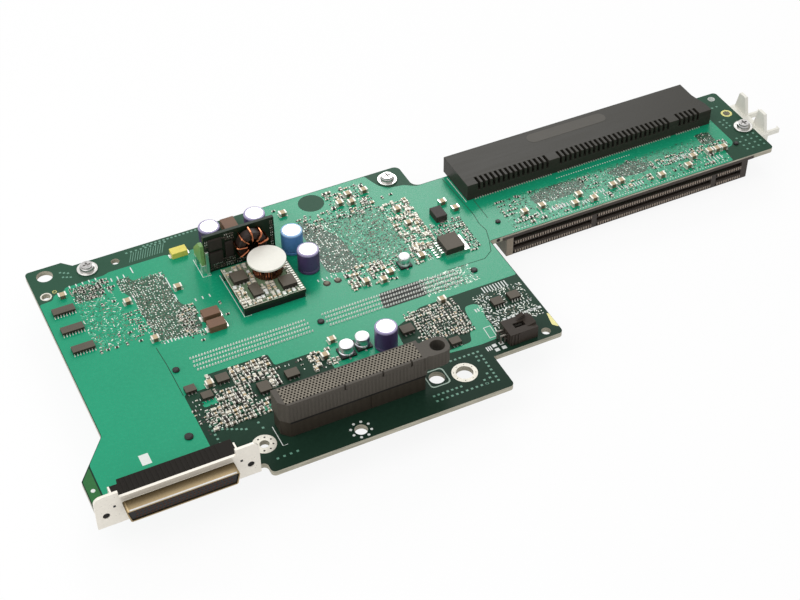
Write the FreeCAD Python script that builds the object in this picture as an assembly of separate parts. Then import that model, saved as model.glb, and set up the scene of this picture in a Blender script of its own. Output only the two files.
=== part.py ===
import FreeCAD, Part
import math
import os

from FreeCAD import Vector

# Riser card for a flat server. Millimetres, X along the card, Y to its back, Z up.
# Plan positions are measured from the board's back left corner, and heights from
# the surface under the spacers. The finished pieces are centred on that surface.

# Circuit board
BOARD_THICKNESS = 2.4
SPACER_LENGTH = 13.0
BOARD_UNDER = SPACER_LENGTH
BOARD_TOP = BOARD_UNDER + BOARD_THICKNESS
BACK_STEP_X = 18.5
BACK_STEP_RUN = 4.0
BACK_EDGE_Y = -4.0
TAB_RIGHT_X = 178.0
ARM_BACK_Y = -21.0
ARM_FRONT_Y = -70.5
MAIN_RIGHT_X = 191.5
HEADER_EDGE_Y = -135.0
FRONT_STEP_X = 158.5
FRONT_EDGE_Y = -153.0
BAY_RIGHT_X = 53.0
BAY_EDGE_Y = -147.0
LEFT_TAB_X = -14.0
LEFT_TAB_BACK_Y = -125.2
LEFT_DIAGONAL_Y = -106.2
TAB_CORNER_R = 3.0
INNER_CORNER_R = 4.0
OUTER_CORNER_R = 2.0

# The arm is as long as the upper slot's housing on it, with room for the clip end
UPPER_SLOT_X = 195.4
SLOT_HOUSING_LENGTH = 129.2
ARM_END_ROOM = 18.7
ARM_END_X = UPPER_SLOT_X + SLOT_HOUSING_LENGTH + ARM_END_ROOM

# Bare holes in the board: x, y, radius
LOCATING_HOLE_R = 3.6
BRACKET_HOLE_R = 1.75
BRACKET_HOLE_INSET = 4.7
BOARD_HOLES = (
    (7.5, -5.5, LOCATING_HOLE_R),
    (FRONT_STEP_X - 15.0, FRONT_EDGE_Y + 15.1, LOCATING_HOLE_R),
    (4.3, -18.5, 1.9),
    (38.1, -9.7, 1.9),
    (55.8, FRONT_EDGE_Y + 15.0, 2.0),
    (92.7, FRONT_EDGE_Y + 5.3, 2.7),
    (MAIN_RIGHT_X - 6.4, HEADER_EDGE_Y + 3.6, 2.0),
    (ARM_END_X - BRACKET_HOLE_INSET, ARM_BACK_Y - 4.0, BRACKET_HOLE_R),
    (ARM_END_X - BRACKET_HOLE_INSET, ARM_BACK_Y - 17.0, BRACKET_HOLE_R),
)

# Screws and the threaded spacers under the board
SCREW_TO_ARM_END = 3.9
SCREW_POINTS = ((25.6, -9.5), (169.2, -11.4), (ARM_END_X - SCREW_TO_ARM_END, -50.8))
SCREW_R = 1.45
SCREW_CLEARANCE = 0.25
SCREW_GRIP = 6.0
SCREW_HEAD_R = 3.3
SCREW_HEAD_HEIGHT = 2.9
SPACER_ACROSS_FLATS = 5.5
THREAD_CLEARANCE = 0.05

# Edge card slots: groups of contacts from left to right, with a key between groups
CONTACT_PITCH = 1.27
CONTACT_GROUPS = (32, 49, 11)
KEY_WIDTH = 2.7
CAVITY_PITCH = 2 * CONTACT_PITCH
CARD_GAP = 1.9
CARD_DEPTH = 9.0
CARD_LEAD_IN = 0.8
CONTACT_MARGIN = 0.3
CONTACT_LENGTH = 5.0
CONTACT_RISE = 0.5

# Upper slot, on top of the arm, open to the back
UPPER_SLOT_HEIGHT = 8.4
UPPER_SLOT_DEPTH = 24.0
UPPER_OVERHANG = 3.8
UPPER_CAVITY_WIDTH = 1.3
UPPER_CAVITY_LENGTH = 4.6
UPPER_CAVITY_DEPTH = 4.0
UPPER_EAR_REACH = 2.0
UPPER_EAR_LENGTH = 14.0
UPPER_EAR_TIP = 5.0

# Lower slot, under the arm, open to the front
LOWER_SLOT_SHIFT = 4.9
LOWER_SLOT_X = UPPER_SLOT_X + LOWER_SLOT_SHIFT
LOWER_SLOT_HEIGHT = 10.3
LOWER_SLOT_DEPTH = 23.0
LOWER_SETBACK = 0.4
LOWER_RELIEF_HEIGHT = 2.7
LOWER_RELIEF_DEPTH = 3.0
LOWER_ROW_HEIGHT = 1.5
LOWER_ROW_DEPTH = 2.0
LOWER_EAR_REACH = 2.5
LOWER_EAR_LENGTH = 7.0
LOWER_EAR_HEIGHT = 4.0
LOWER_EAR_BACK = 9.8

# Grid connector: base on the board, cap with the contact holes and a guide socket
GRID_X = 63.0
GRID_LENGTH = 62.6
GRID_FRONT_Y = -139.8
GRID_DEPTH = 10.6
GRID_BASE_HEIGHT = 8.6
GRID_CAP_HEIGHT = 9.8
GRID_BEVEL = 3.2
GRID_COLUMNS = 12
GRID_ROWS = 3
GRID_COLUMN_PITCH = 4.9
GRID_ROW_PITCH = 3.1
GRID_HOLE = 2.0
GRID_HOLE_DEPTH = 2.5
GRID_NOTCHES = (27.1, 43.4, 55.9)
GRID_NOTCH_WIDTH = 0.8
GRID_NOTCH_DEPTH = 2.4
GRID_BASE_STEP = 0.5
GUIDE_X = 132.1
GUIDE_SETBACK = 1.0
GUIDE_R = 3.1
GUIDE_CLEARANCE = 0.25
GUIDE_BLOCK_R = 4.7
GUIDE_CORNER_R = 4.5
GUIDE_ROOT = 1.0
GUIDE_LIFT = 2.4

# External connector: nickel shell with flange, black body behind, black insert
SHELL_CENTRE_X = 17.6
SHELL_CENTRE_Z = 5.1
FLANGE_WIDTH = 65.4
FLANGE_THICKNESS = 1.2
FLANGE_STRIP_TOP = 10.9
FLANGE_BOTTOM = -2.6
EAR_WIDTH = 9.6
EAR_TOP = 13.8
EAR_CORNER_R = 3.0
JACK_SPACING = 57.6
JACK_HOLE_R = 1.4
JACK_HOLE_Z = 3.4
SHELL_TOP_WIDTH = 45.0
SHELL_BOTTOM_WIDTH = 42.4
SHELL_HEIGHT = 6.2
SHELL_REACH = 5.8
SHELL_WALL = 0.5
SHELL_CORNER_R = 1.0
INSERT_CLEARANCE = 0.1
INSERT_SETBACK = 0.5
SHELL_BODY_HEIGHT = 10.0
SHELL_BODY_DEPTH = 8.6
SHELL_BODY_WIDTH = 49.2
SHELL_BODY_STEP = 3.5
SHELL_BODY_STEP_DEPTH = 2.2
LEG_THICKNESS = 0.7
LEG_HEIGHT = 10.0

# Four-way header, open to the right
HEADER_SETBACK = 24.1
HEADER_MARGIN = 2.2
HEADER_X = MAIN_RIGHT_X - HEADER_SETBACK
HEADER_LENGTH = 13.0
HEADER_FRONT_Y = HEADER_EDGE_Y + HEADER_MARGIN
HEADER_WIDTH = 9.6
HEADER_HEIGHT = 5.8
HEADER_WALL = 0.65
HEADER_BACK_WALL = 3.0
HEADER_WINDOW = (5.0, 2.6)
HEADER_RAMP_LENGTH = 4.2
HEADER_RAMP_HEIGHT = 1.0
HEADER_PIN = 0.7
HEADER_PIN_PITCH = 3.0
HEADER_PIN_RISE = 2.0
HEADER_PIN_REACH = 5.5
HEADER_TAIL_REACH = 2.1
HEADER_TAIL_STEP = 1.0

# Upright regulator module
UPRIGHT_X = 71.2
UPRIGHT_LENGTH = 32.6
UPRIGHT_FRONT_Y = -34.9
UPRIGHT_HEIGHT = 20.0
MODULE_BOARD = 1.6
BRACKET_THICKNESS = 1.7
BRACKET_DEPTH = 10.0
BRACKET_FRONT_HEIGHT = 15.6
BRACKET_BACK_HEIGHT = 8.0
UPRIGHT_CHIPS = ((2.0, 6.0, 5.0, 6.0, 1.2), (2.0, 6.0, 12.5, 5.5, 1.0), (9.4, 3.6, 6.5, 8.0, 1.0))
TOROID_X = 91.6
TOROID_Z = 12.2
TOROID_R = 6.6
TOROID_BORE_R = 3.2
TOROID_DEPTH = 4.6
TOROID_TURNS = 7
WIRE = 0.7
WIRE_CLEARANCE = 0.05

# Flat regulator module
FLAT_X = 75.9
FLAT_LENGTH = 28.3
FLAT_FRONT_Y = -67.8
FLAT_DEPTH = 27.6
FLAT_GAP = 2.9
FLAT_STRIP = 2.4
FLAT_STRIP_INSET = 0.3
FLAT_CHIPS = ((1.6, 15.0, 6.6, 6.4, 2.3), (6.2, 4.0, 4.4, 7.4, 1.8), (19.4, 3.4, 6.4, 6.6, 2.3))
COIL_X = 94.0
COIL_Y = -49.6
COIL_R = 6.5
COIL_HEIGHT = 6.3
COIL_DISC_R = 8.4
COIL_DISC_THICKNESS = 0.9

# Electrolytic cans: x, y
CAN_R = 4.85
CAN_HEIGHT = 11.0
CANS = ((79.6, -18.1), (100.8, -18.6), (111.0, -36.6), (112.4, -51.4), (121.8, -109.6))

# Surface-mount cans: x, y, radius
SMALL_CANS = ((105.3, -106.3, 3.2), (113.1, -104.9, 3.2), (150.4, -67.9, 2.6))
SMALL_CAN_HEIGHT = 5.4
SMALL_CAN_BASE = 0.9
SMALL_CAN_BASE_MARGIN = 0.2

# Moulded blocks on the board: x and y of the centre, size along x, along y, height
YELLOW_TANTALUMS = ((64.8, -17.6, 7.3, 4.3, 2.9),)
BROWN_TANTALUMS = ((63.1, -61.2, 7.6, 5.0, 3.2), (63.0, -68.4, 7.6, 5.0, 3.2))
CHOKES = ((91.0, -12.0, 6.4, 7.6, 4.2),)
DIODES = ((178.4, -45.4, 5.4, 7.6, 3.2),)
SMALL_REGULATORS = (
    (40.1, -98.1, 4.6, 3.8, 1.6),
    (45.0, -104.3, 4.6, 3.8, 1.6),
    (53.9, -98.0, 5.2, 4.4, 1.6),
    (67.2, -110.2, 5.0, 5.6, 1.6),
    (80.3, -108.0, 5.6, 4.4, 1.6),
    (133.4, -105.5, 5.6, 4.6, 1.6),
    (148.0, -120.7, 4.6, 3.8, 1.6),
)
CERAMICS = ((10.6, -21.8), (142.6, -70.2), (159.4, -66.8), (184.2, -37.8), (187.6, -44.2))
CERAMIC_SIZE = (3.4, 2.6, 1.9)

# Small-outline packages: x, y, body along x, body along y
OUTLINE_PACKAGES = (
    (8.3, -31.0, 9.6, 3.9),
    (8.3, -43.4, 9.6, 3.9),
    (8.9, -56.2, 9.6, 3.9),
    (174.9, -107.4, 5.0, 4.4),
    (183.0, -107.0, 5.0, 4.4),
)
OUTLINE_HEIGHT = 1.6
OUTLINE_STANDOFF = 0.15
OUTLINE_LEAD_MARGIN = 0.3
OUTLINE_LEAD_REACH = 1.1
OUTLINE_LEAD_HEIGHT = 0.8

# Power package: body, heat tab to the right, leads to the left
POWER_X = 173.6
POWER_Y = -67.0
POWER_BODY = (8.8, 10.2, 4.4)
POWER_TAB_REACH = 2.6
POWER_TAB_THICKNESS = 1.3
POWER_LEADS = 5
POWER_LEAD_PITCH = 1.7
POWER_LEAD_WIDTH = 0.8
POWER_LEAD_THICKNESS = 0.5
POWER_LEAD_REACH = 4.2
POWER_LEAD_HEIGHT = 2.4

# White clip on the end of the arm
CLIP_BACK_Y = -33.4
CLIP_LENGTH = 27.0
CLIP_RAIL = 4.0
CLIP_RAIL_DROP = 3.0
CLIP_FIN_BASE = 9.2
CLIP_FIN_TOP = 4.6
CLIP_FIN_HEIGHT = 9.2
CLIP_FIN_THICKNESS = 1.6
CLIP_FIN_PITCH = 15.4
CLIP_ARM_REACH = 7.4
CLIP_ARM_THICKNESS = 1.2
CLIP_ARM_HEIGHT = 2.6

# Memory socket on the underside, leaning over to the back
MEMORY_Y = -84.8
MEMORY_CENTRE_X = 107.4
MEMORY_MODULE = 133.8
MEMORY_LEAN = 25.0
MEMORY_BAR_LENGTH = 137.8
MEMORY_BAR_THICKNESS = 5.2
MEMORY_BAR_DEPTH = 9.5
MEMORY_FOOT_BACK = 4.5
MEMORY_FOOT_DROP = 4.0
MEMORY_WEDGE_REACH = 6.6
MEMORY_SLOT = 1.4
MEMORY_SLOT_DEPTH = 6.8
MEMORY_KEY_X = 101.6
MEMORY_KEY_WIDTH = 1.8
TOWER_WIDTH = 7.0
TOWER_DEPTH = 13.0
TOWER_THICKNESS = 6.8
TOWER_FLOOR = 1.8
LATCH_GAP = 0.3
LATCH_THICKNESS = 3.0
LATCH_R = 2.0
LATCH_HEEL = 1.8
LATCH_PIVOT = 4.2
LATCH_PIN_R = 1.0
LATCH_PIN_CLEARANCE = 0.05
LATCH_TIP = 16.0
LATCH_NECK_DROP = 4.0
LATCH_SHOULDER_DROP = 2.0
LATCH_FINGER_REACH = 2.6
LATCH_FINGER_DROP = 0.8
LATCH_CREST_REACH = 1.4
LATCH_HOOK_REACH = 3.0
LATCH_HOOK_THICKNESS = 1.4
LATCH_HOOK_ROOT = 2.2

# Ball-grid chips on the underside: x, y, package side, lid side
BALL_CHIPS = ((140.6, -45.0, 37.5, 27.0), (40.6, -50.6, 31.0, 24.0))
BALL_GAP = 0.5
BALL_INSET = 1.2
CHIP_SUBSTRATE = 1.2
CHIP_LID = 1.3


def block(x0, x1, y0, y1, z0, z1):
    return Part.makeBox(x1 - x0, y1 - y0, z1 - z0, Vector(x0, y0, z0))


def centred_block(x, y, along_x, along_y, z0, z1):
    return block(x - along_x / 2, x + along_x / 2, y - along_y / 2, y + along_y / 2, z0, z1)


def post(x, y, z0, z1, radius):
    return Part.makeCylinder(radius, z1 - z0, Vector(x, y, z0))


def bar_along_y(x, z, y0, y1, radius):
    return Part.makeCylinder(radius, y1 - y0, Vector(x, y0, z), Vector(0, 1, 0))


def merge(pieces):
    return pieces[0].multiFuse(pieces[1:]).removeSplitter()


def outline_wire(corners, to_space):
    """Closed wire through corners (a, b) or, with a round, (a, b, radius)."""
    arcs = []
    for index, corner in enumerate(corners):
        here = Vector(corner[0], corner[1], 0)
        before = corners[index - 1]
        after = corners[(index + 1) % len(corners)]
        back = (Vector(before[0], before[1], 0) - here).normalize()
        ahead = (Vector(after[0], after[1], 0) - here).normalize()
        radius = corner[2] if len(corner) > 2 else 0
        if radius == 0:
            arcs.append((here, None, here))
            continue
        half = back.getAngle(ahead) / 2
        reach = radius / math.tan(half)
        to_arc = radius / math.sin(half) - radius
        middle = here + (back + ahead).normalize() * to_arc
        arcs.append((here + back * reach, middle, here + ahead * reach))
    edges = []
    for index, (start, middle, end) in enumerate(arcs):
        if middle is not None:
            edges.append(Part.Arc(to_space(start), to_space(middle), to_space(end)).toShape())
        following = arcs[(index + 1) % len(arcs)][0]
        edges.append(Part.LineSegment(to_space(end), to_space(following)).toShape())
    return Part.Wire(edges)


def plan_prism(corners, z0, z1):
    wire = outline_wire(corners, lambda p: Vector(p.x, p.y, z0))
    return Part.Face(wire).extrude(Vector(0, 0, z1 - z0))


def side_prism(corners, x0, x1):
    """Profile of (y, z) corners, extruded along X."""
    wire = outline_wire(corners, lambda p: Vector(x0, p.x, p.y))
    return Part.Face(wire).extrude(Vector(x1 - x0, 0, 0))


def front_prism(corners, y0, y1):
    """Profile of (x, z) corners, extruded along Y."""
    wire = outline_wire(corners, lambda p: Vector(p.x, y0, p.y))
    return Part.Face(wire).extrude(Vector(0, y1 - y0, 0))


def turned(profile, x, y):
    """Solid of revolution about an upright axis, from (radius, z) corners."""
    wire = outline_wire(profile, lambda p: Vector(x + p.x, y, p.y))
    return Part.Face(wire).revolve(Vector(x, y, 0), Vector(0, 0, 1), 360)


def lower_slot_front():
    return ARM_FRONT_Y + LOWER_SETBACK


def guide_y():
    return GRID_FRONT_Y + GRID_DEPTH / 2 - GUIDE_SETBACK


def circuit_board():
    step = BACK_STEP_RUN / 2
    outline = (
        (0, 0, OUTER_CORNER_R),
        (BACK_STEP_X - step, 0),
        (BACK_STEP_X + step, BACK_EDGE_Y),
        (TAB_RIGHT_X, BACK_EDGE_Y, TAB_CORNER_R),
        (TAB_RIGHT_X, ARM_BACK_Y, INNER_CORNER_R),
        (ARM_END_X, ARM_BACK_Y, OUTER_CORNER_R),
        (ARM_END_X, ARM_FRONT_Y, OUTER_CORNER_R),
        (MAIN_RIGHT_X, ARM_FRONT_Y),
        (MAIN_RIGHT_X, HEADER_EDGE_Y, OUTER_CORNER_R),
        (FRONT_STEP_X, HEADER_EDGE_Y),
        (FRONT_STEP_X, FRONT_EDGE_Y, OUTER_CORNER_R),
        (BAY_RIGHT_X, FRONT_EDGE_Y, OUTER_CORNER_R),
        (BAY_RIGHT_X, BAY_EDGE_Y, OUTER_CORNER_R),
        (LEFT_TAB_X, BAY_EDGE_Y),
        (LEFT_TAB_X, LEFT_TAB_BACK_Y),
        (0, LEFT_DIAGONAL_Y, TAB_CORNER_R),
    )
    board = plan_prism(outline, BOARD_UNDER, BOARD_TOP)
    holes = list(BOARD_HOLES)
    holes += [(x, y, SCREW_R + SCREW_CLEARANCE) for x, y in SCREW_POINTS]
    holes.append((GUIDE_X, guide_y(), GUIDE_R + GUIDE_CLEARANCE))
    return [board.cut([post(x, y, BOARD_UNDER, BOARD_TOP, r) for x, y, r in holes])]


def screws():
    tip_z = BOARD_UNDER - SCREW_GRIP
    crown_z = BOARD_TOP + SCREW_HEAD_HEIGHT
    profile = (
        (0, tip_z),
        (SCREW_R, tip_z),
        (SCREW_R, BOARD_TOP),
        (SCREW_HEAD_R, BOARD_TOP),
        (SCREW_HEAD_R, crown_z),
        (0, crown_z),
    )
    return [turned(profile, x, y) for x, y in SCREW_POINTS]


def spacers():
    radius = SPACER_ACROSS_FLATS / math.sqrt(3)
    turns = [math.radians(60 * k) for k in range(6)]
    solids = []
    for x, y in SCREW_POINTS:
        corners = [(x + radius * math.cos(turn), y + radius * math.sin(turn)) for turn in turns]
        body = plan_prism(corners, 0, SPACER_LENGTH)
        solids.append(body.cut(post(x, y, 0, SPACER_LENGTH, SCREW_R + THREAD_CLEARANCE)))
    return solids


def contact_spans(housing_x):
    """Start and end of each contact group along a slot housing."""
    lengths = [count * CONTACT_PITCH for count in CONTACT_GROUPS]
    used = sum(lengths) + KEY_WIDTH * (len(lengths) - 1)
    x = housing_x + (SLOT_HOUSING_LENGTH - used) / 2
    spans = []
    for length in lengths:
        spans.append((x, x + length))
        x += length + KEY_WIDTH
    return spans


def cavity_centres(housing_x):
    centres = []
    for start, end in contact_spans(housing_x):
        count = int((end - start) / CAVITY_PITCH)
        first = (start + end - (count - 1) * CAVITY_PITCH) / 2
        centres += [first + k * CAVITY_PITCH for k in range(count)]
    return centres


def card_gap_cuts(housing_x, mouth_y, inward, middle_z):
    """Card gap with a flared mouth, one cut for each contact group."""
    half = CARD_GAP / 2
    flare = half + CARD_LEAD_IN / 2
    throat_y = mouth_y + inward * CARD_LEAD_IN
    floor_y = mouth_y + inward * CARD_DEPTH
    profile = (
        (mouth_y, middle_z - flare),
        (throat_y, middle_z - half),
        (floor_y, middle_z - half),
        (floor_y, middle_z + half),
        (throat_y, middle_z + half),
        (mouth_y, middle_z + flare),
    )
    return [side_prism(profile, start, end) for start, end in contact_spans(housing_x)]


def card_contacts(housing_x, mouth_y, inward, middle_z):
    """Banks of sprung contacts, one low ridge on each wall for each contact group."""
    solids = []
    far = mouth_y + inward * (CARD_DEPTH - CARD_LEAD_IN)
    near = far - inward * CONTACT_LENGTH
    for wall in (-1, 1):
        wall_z = middle_z + wall * CARD_GAP / 2
        ridge = ((near, wall_z), (far, wall_z), ((near + far) / 2, wall_z - wall * CONTACT_RISE))
        for start, end in contact_spans(housing_x):
            solids.append(side_prism(ridge, start + CONTACT_MARGIN, end - CONTACT_MARGIN))
    return solids


def upper_slot_mouth():
    return ARM_BACK_Y + UPPER_OVERHANG


def upper_slot_housing():
    left = UPPER_SLOT_X
    right = left + SLOT_HOUSING_LENGTH
    mouth = upper_slot_mouth()
    front = mouth - UPPER_SLOT_DEPTH
    top = BOARD_TOP + UPPER_SLOT_HEIGHT
    ear_tip = right + UPPER_EAR_REACH
    plan = (
        (left, front),
        (ear_tip, front),
        (ear_tip, front + UPPER_EAR_TIP),
        (right, front + UPPER_EAR_LENGTH),
        (right, mouth),
        (left, mouth),
    )
    body = plan_prism(plan, BOARD_TOP, top)
    cuts = card_gap_cuts(left, mouth, -1, BOARD_TOP + UPPER_SLOT_HEIGHT / 2)
    half = UPPER_CAVITY_WIDTH / 2
    for x in cavity_centres(left):
        back = front + UPPER_CAVITY_LENGTH
        cuts.append(block(x - half, x + half, front, back, top - UPPER_CAVITY_DEPTH, top))
    return [body.cut(cuts)]


def upper_slot_contacts():
    return card_contacts(UPPER_SLOT_X, upper_slot_mouth(), -1, BOARD_TOP + UPPER_SLOT_HEIGHT / 2)


def lower_card_gap_z():
    rows_top = BOARD_UNDER - LOWER_RELIEF_HEIGHT
    return (rows_top + BOARD_UNDER - LOWER_SLOT_HEIGHT) / 2


def lower_slot_housing():
    left = LOWER_SLOT_X
    right = left + SLOT_HOUSING_LENGTH
    front = lower_slot_front()
    bottom = BOARD_UNDER - LOWER_SLOT_HEIGHT
    middle = lower_card_gap_z()
    spans = contact_spans(left)
    body = block(left, right, front, front + LOWER_SLOT_DEPTH, bottom, BOARD_UNDER)
    relief_z = BOARD_UNDER - LOWER_RELIEF_HEIGHT
    cuts = [block(spans[0][0], spans[-1][1], front, front + LOWER_RELIEF_DEPTH, relief_z, BOARD_UNDER)]
    cuts += card_gap_cuts(left, front, 1, middle)
    gap_edge = (CARD_GAP + CARD_LEAD_IN) / 2
    row_offset = (gap_edge + relief_z - middle) / 2
    half_row = LOWER_ROW_HEIGHT / 2
    for row_z in (middle - row_offset, middle + row_offset):
        for start, end in spans:
            row = block(start, end, front, front + LOWER_ROW_DEPTH, row_z - half_row, row_z + half_row)
            cuts.append(row)
    body = body.cut(cuts)
    joined = [body]
    ear_y = front + LOWER_EAR_BACK
    ear_low = BOARD_UNDER - LOWER_EAR_HEIGHT
    ear_span = (ear_y - LOWER_EAR_LENGTH / 2, ear_y + LOWER_EAR_LENGTH / 2)
    joined.append(block(left - LOWER_EAR_REACH, left, *ear_span, ear_low, BOARD_UNDER))
    joined.append(block(right, right + LOWER_EAR_REACH, *ear_span, ear_low, BOARD_UNDER))
    return [merge(joined)]


def lower_slot_contacts():
    return card_contacts(LOWER_SLOT_X, lower_slot_front(), 1, lower_card_gap_z())


def grid_plan(inset):
    left, right = GRID_X + inset, GRID_X + GRID_LENGTH - inset
    front, back = GRID_FRONT_Y + inset, GRID_FRONT_Y + GRID_DEPTH - inset
    bevel = ((left, front + GRID_BEVEL), (left + GRID_BEVEL, front))
    return bevel + ((right, front), (right, back), (left, back))


def grid_connector_base():
    return [plan_prism(grid_plan(GRID_BASE_STEP), BOARD_TOP, BOARD_TOP + GRID_BASE_HEIGHT)]


def grid_connector_cap():
    low = BOARD_TOP + GRID_BASE_HEIGHT
    top = low + GRID_CAP_HEIGHT
    right = GRID_X + GRID_LENGTH
    lobe = plan_prism(
        (
            (right - GUIDE_ROOT, guide_y() - GUIDE_BLOCK_R),
            (GUIDE_X + GUIDE_BLOCK_R, guide_y() - GUIDE_BLOCK_R, GUIDE_CORNER_R),
            (GUIDE_X + GUIDE_BLOCK_R, guide_y() + GUIDE_BLOCK_R, GUIDE_CORNER_R),
            (right - GUIDE_ROOT, guide_y() + GUIDE_BLOCK_R),
        ),
        low + GUIDE_LIFT,
        top,
    )
    cap = merge([plan_prism(grid_plan(0), low, top), lobe])
    cuts = [post(GUIDE_X, guide_y(), low, top, GUIDE_R)]
    first_x = GRID_X + (GRID_LENGTH - (GRID_COLUMNS - 1) * GRID_COLUMN_PITCH) / 2
    first_y = GRID_FRONT_Y + (GRID_DEPTH - (GRID_ROWS - 1) * GRID_ROW_PITCH) / 2
    for column in range(GRID_COLUMNS):
        for row in range(GRID_ROWS):
            x = first_x + column * GRID_COLUMN_PITCH
            y = first_y + row * GRID_ROW_PITCH
            if x - first_x + y - first_y < GRID_BEVEL - GRID_HOLE:
                continue
            cuts.append(centred_block(x, y, GRID_HOLE, GRID_HOLE, top - GRID_HOLE_DEPTH, top))
    for notch in GRID_NOTCHES:
        x = GRID_X + notch
        low_z = top - GRID_NOTCH_DEPTH
        cuts.append(centred_block(x, GRID_FRONT_Y, GRID_NOTCH_WIDTH, GRID_HOLE, low_z, top))
    return [cap.cut(cuts)]


def shell_section(shrink, radius):
    """Corners (x, z) of the D-shaped section, wide side up, drawn in by shrink."""
    top = BOARD_TOP + SHELL_CENTRE_Z + SHELL_HEIGHT / 2 - shrink
    low = BOARD_TOP + SHELL_CENTRE_Z - SHELL_HEIGHT / 2 + shrink
    wide = SHELL_TOP_WIDTH / 2 - shrink
    narrow = SHELL_BOTTOM_WIDTH / 2 - shrink
    return (
        (SHELL_CENTRE_X - narrow, low, radius),
        (SHELL_CENTRE_X + narrow, low, radius),
        (SHELL_CENTRE_X + wide, top, radius),
        (SHELL_CENTRE_X - wide, top, radius),
    )


def shell_flange_front():
    return BAY_EDGE_Y - FLANGE_THICKNESS


def connector_shell():
    front, back = shell_flange_front(), BAY_EDGE_Y
    half = FLANGE_WIDTH / 2
    low = BOARD_TOP + FLANGE_BOTTOM
    strip = BOARD_TOP + FLANGE_STRIP_TOP
    ear = BOARD_TOP + EAR_TOP
    inner = half - EAR_WIDTH
    outline = (
        (SHELL_CENTRE_X - half, low),
        (SHELL_CENTRE_X + half, low),
        (SHELL_CENTRE_X + half, ear, EAR_CORNER_R),
        (SHELL_CENTRE_X + inner, ear),
        (SHELL_CENTRE_X + inner, strip),
        (SHELL_CENTRE_X - inner, strip),
        (SHELL_CENTRE_X - inner, ear),
        (SHELL_CENTRE_X - half, ear, EAR_CORNER_R),
    )
    pieces = [front_prism(outline, front, back)]
    pieces.append(front_prism(shell_section(0, SHELL_CORNER_R), front - SHELL_REACH, front))
    leg_back = back + SHELL_BODY_DEPTH - SHELL_BODY_STEP_DEPTH
    for side in (-1, 1):
        edge = SHELL_CENTRE_X + side * SHELL_BODY_WIDTH / 2
        outer = edge + side * LEG_THICKNESS
        low_x, high_x = min(edge, outer), max(edge, outer)
        pieces.append(block(low_x, high_x, back, leg_back, BOARD_TOP, BOARD_TOP + LEG_HEIGHT))
    shell = merge(pieces)
    cuts = [front_prism(shell_section(SHELL_WALL, 0), front - SHELL_REACH, back)]
    for side in (-1, 1):
        x = SHELL_CENTRE_X + side * JACK_SPACING / 2
        cuts.append(bar_along_y(x, BOARD_TOP + JACK_HOLE_Z, front, back, JACK_HOLE_R))
    return [shell.cut(cuts)]


def connector_body():
    left = SHELL_CENTRE_X - SHELL_BODY_WIDTH / 2
    right = SHELL_CENTRE_X + SHELL_BODY_WIDTH / 2
    back = BAY_EDGE_Y + SHELL_BODY_DEPTH
    step_y = back - SHELL_BODY_STEP_DEPTH
    plan = (
        (left, BAY_EDGE_Y),
        (right, BAY_EDGE_Y),
        (right, back),
        (left + SHELL_BODY_STEP, back),
        (left + SHELL_BODY_STEP, step_y),
        (left, step_y),
    )
    return [plan_prism(plan, BOARD_TOP, BOARD_TOP + SHELL_BODY_HEIGHT)]


def connector_insert():
    front = shell_flange_front() - SHELL_REACH + INSERT_SETBACK
    return [front_prism(shell_section(SHELL_WALL + INSERT_CLEARANCE, 0), front, BAY_EDGE_Y)]


def header_shroud():
    left, right = HEADER_X, HEADER_X + HEADER_LENGTH
    front, back = HEADER_FRONT_Y, HEADER_FRONT_Y + HEADER_WIDTH
    top = BOARD_TOP + HEADER_HEIGHT
    body = block(left, right, front, back, BOARD_TOP, top)
    middle_y = (front + back) / 2
    half_ramp = HEADER_WINDOW[1]
    ramp = front_prism(
        ((right - HEADER_RAMP_LENGTH, top), (right, top), (right, top + HEADER_RAMP_HEIGHT)),
        middle_y - half_ramp,
        middle_y + half_ramp,
    )
    body = merge([body, ramp])
    cavity = block(
        left + HEADER_BACK_WALL,
        right,
        front + HEADER_WALL,
        back - HEADER_WALL,
        BOARD_TOP + HEADER_WALL,
        top - HEADER_WALL,
    )
    window = centred_block(
        (left + right) / 2, middle_y, HEADER_WINDOW[0], HEADER_WINDOW[1], top - HEADER_WALL, top
    )
    pins = [header_pin(row, level, HEADER_BACK_WALL) for row in (-1, 1) for level in (-1, 1)]
    return [body.cut([cavity, window] + pins)]


def header_pin(row, level, reach):
    x = HEADER_X
    y = HEADER_FRONT_Y + HEADER_WIDTH / 2 + row * HEADER_PIN_PITCH / 2
    z = BOARD_TOP + HEADER_HEIGHT / 2 + level * HEADER_PIN_RISE / 2
    half = HEADER_PIN / 2
    return block(x, x + reach, y - half, y + half, z - half, z + half)


def header_pins():
    reach = HEADER_BACK_WALL + HEADER_PIN_REACH
    solids = []
    for row in (-1, 1):
        y = HEADER_FRONT_Y + HEADER_WIDTH / 2 + row * HEADER_PIN_PITCH / 2
        for level in (-1, 1):
            blade = header_pin(row, level, reach)
            top = blade.BoundBox.ZMax
            tail_x = HEADER_X - HEADER_TAIL_REACH - level * HEADER_TAIL_STEP
            run = block(tail_x, HEADER_X, y - HEADER_PIN / 2, y + HEADER_PIN / 2, top - HEADER_PIN, top)
            drop = block(tail_x, tail_x + HEADER_PIN, y - HEADER_PIN / 2, y + HEADER_PIN / 2, BOARD_TOP, top)
            solids.append(merge([blade, run, drop]))
    return solids


def upright_module_board():
    top = BOARD_TOP + UPRIGHT_HEIGHT
    back = UPRIGHT_FRONT_Y + MODULE_BOARD
    return [block(UPRIGHT_X, UPRIGHT_X + UPRIGHT_LENGTH, UPRIGHT_FRONT_Y, back, BOARD_TOP, top)]


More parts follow.
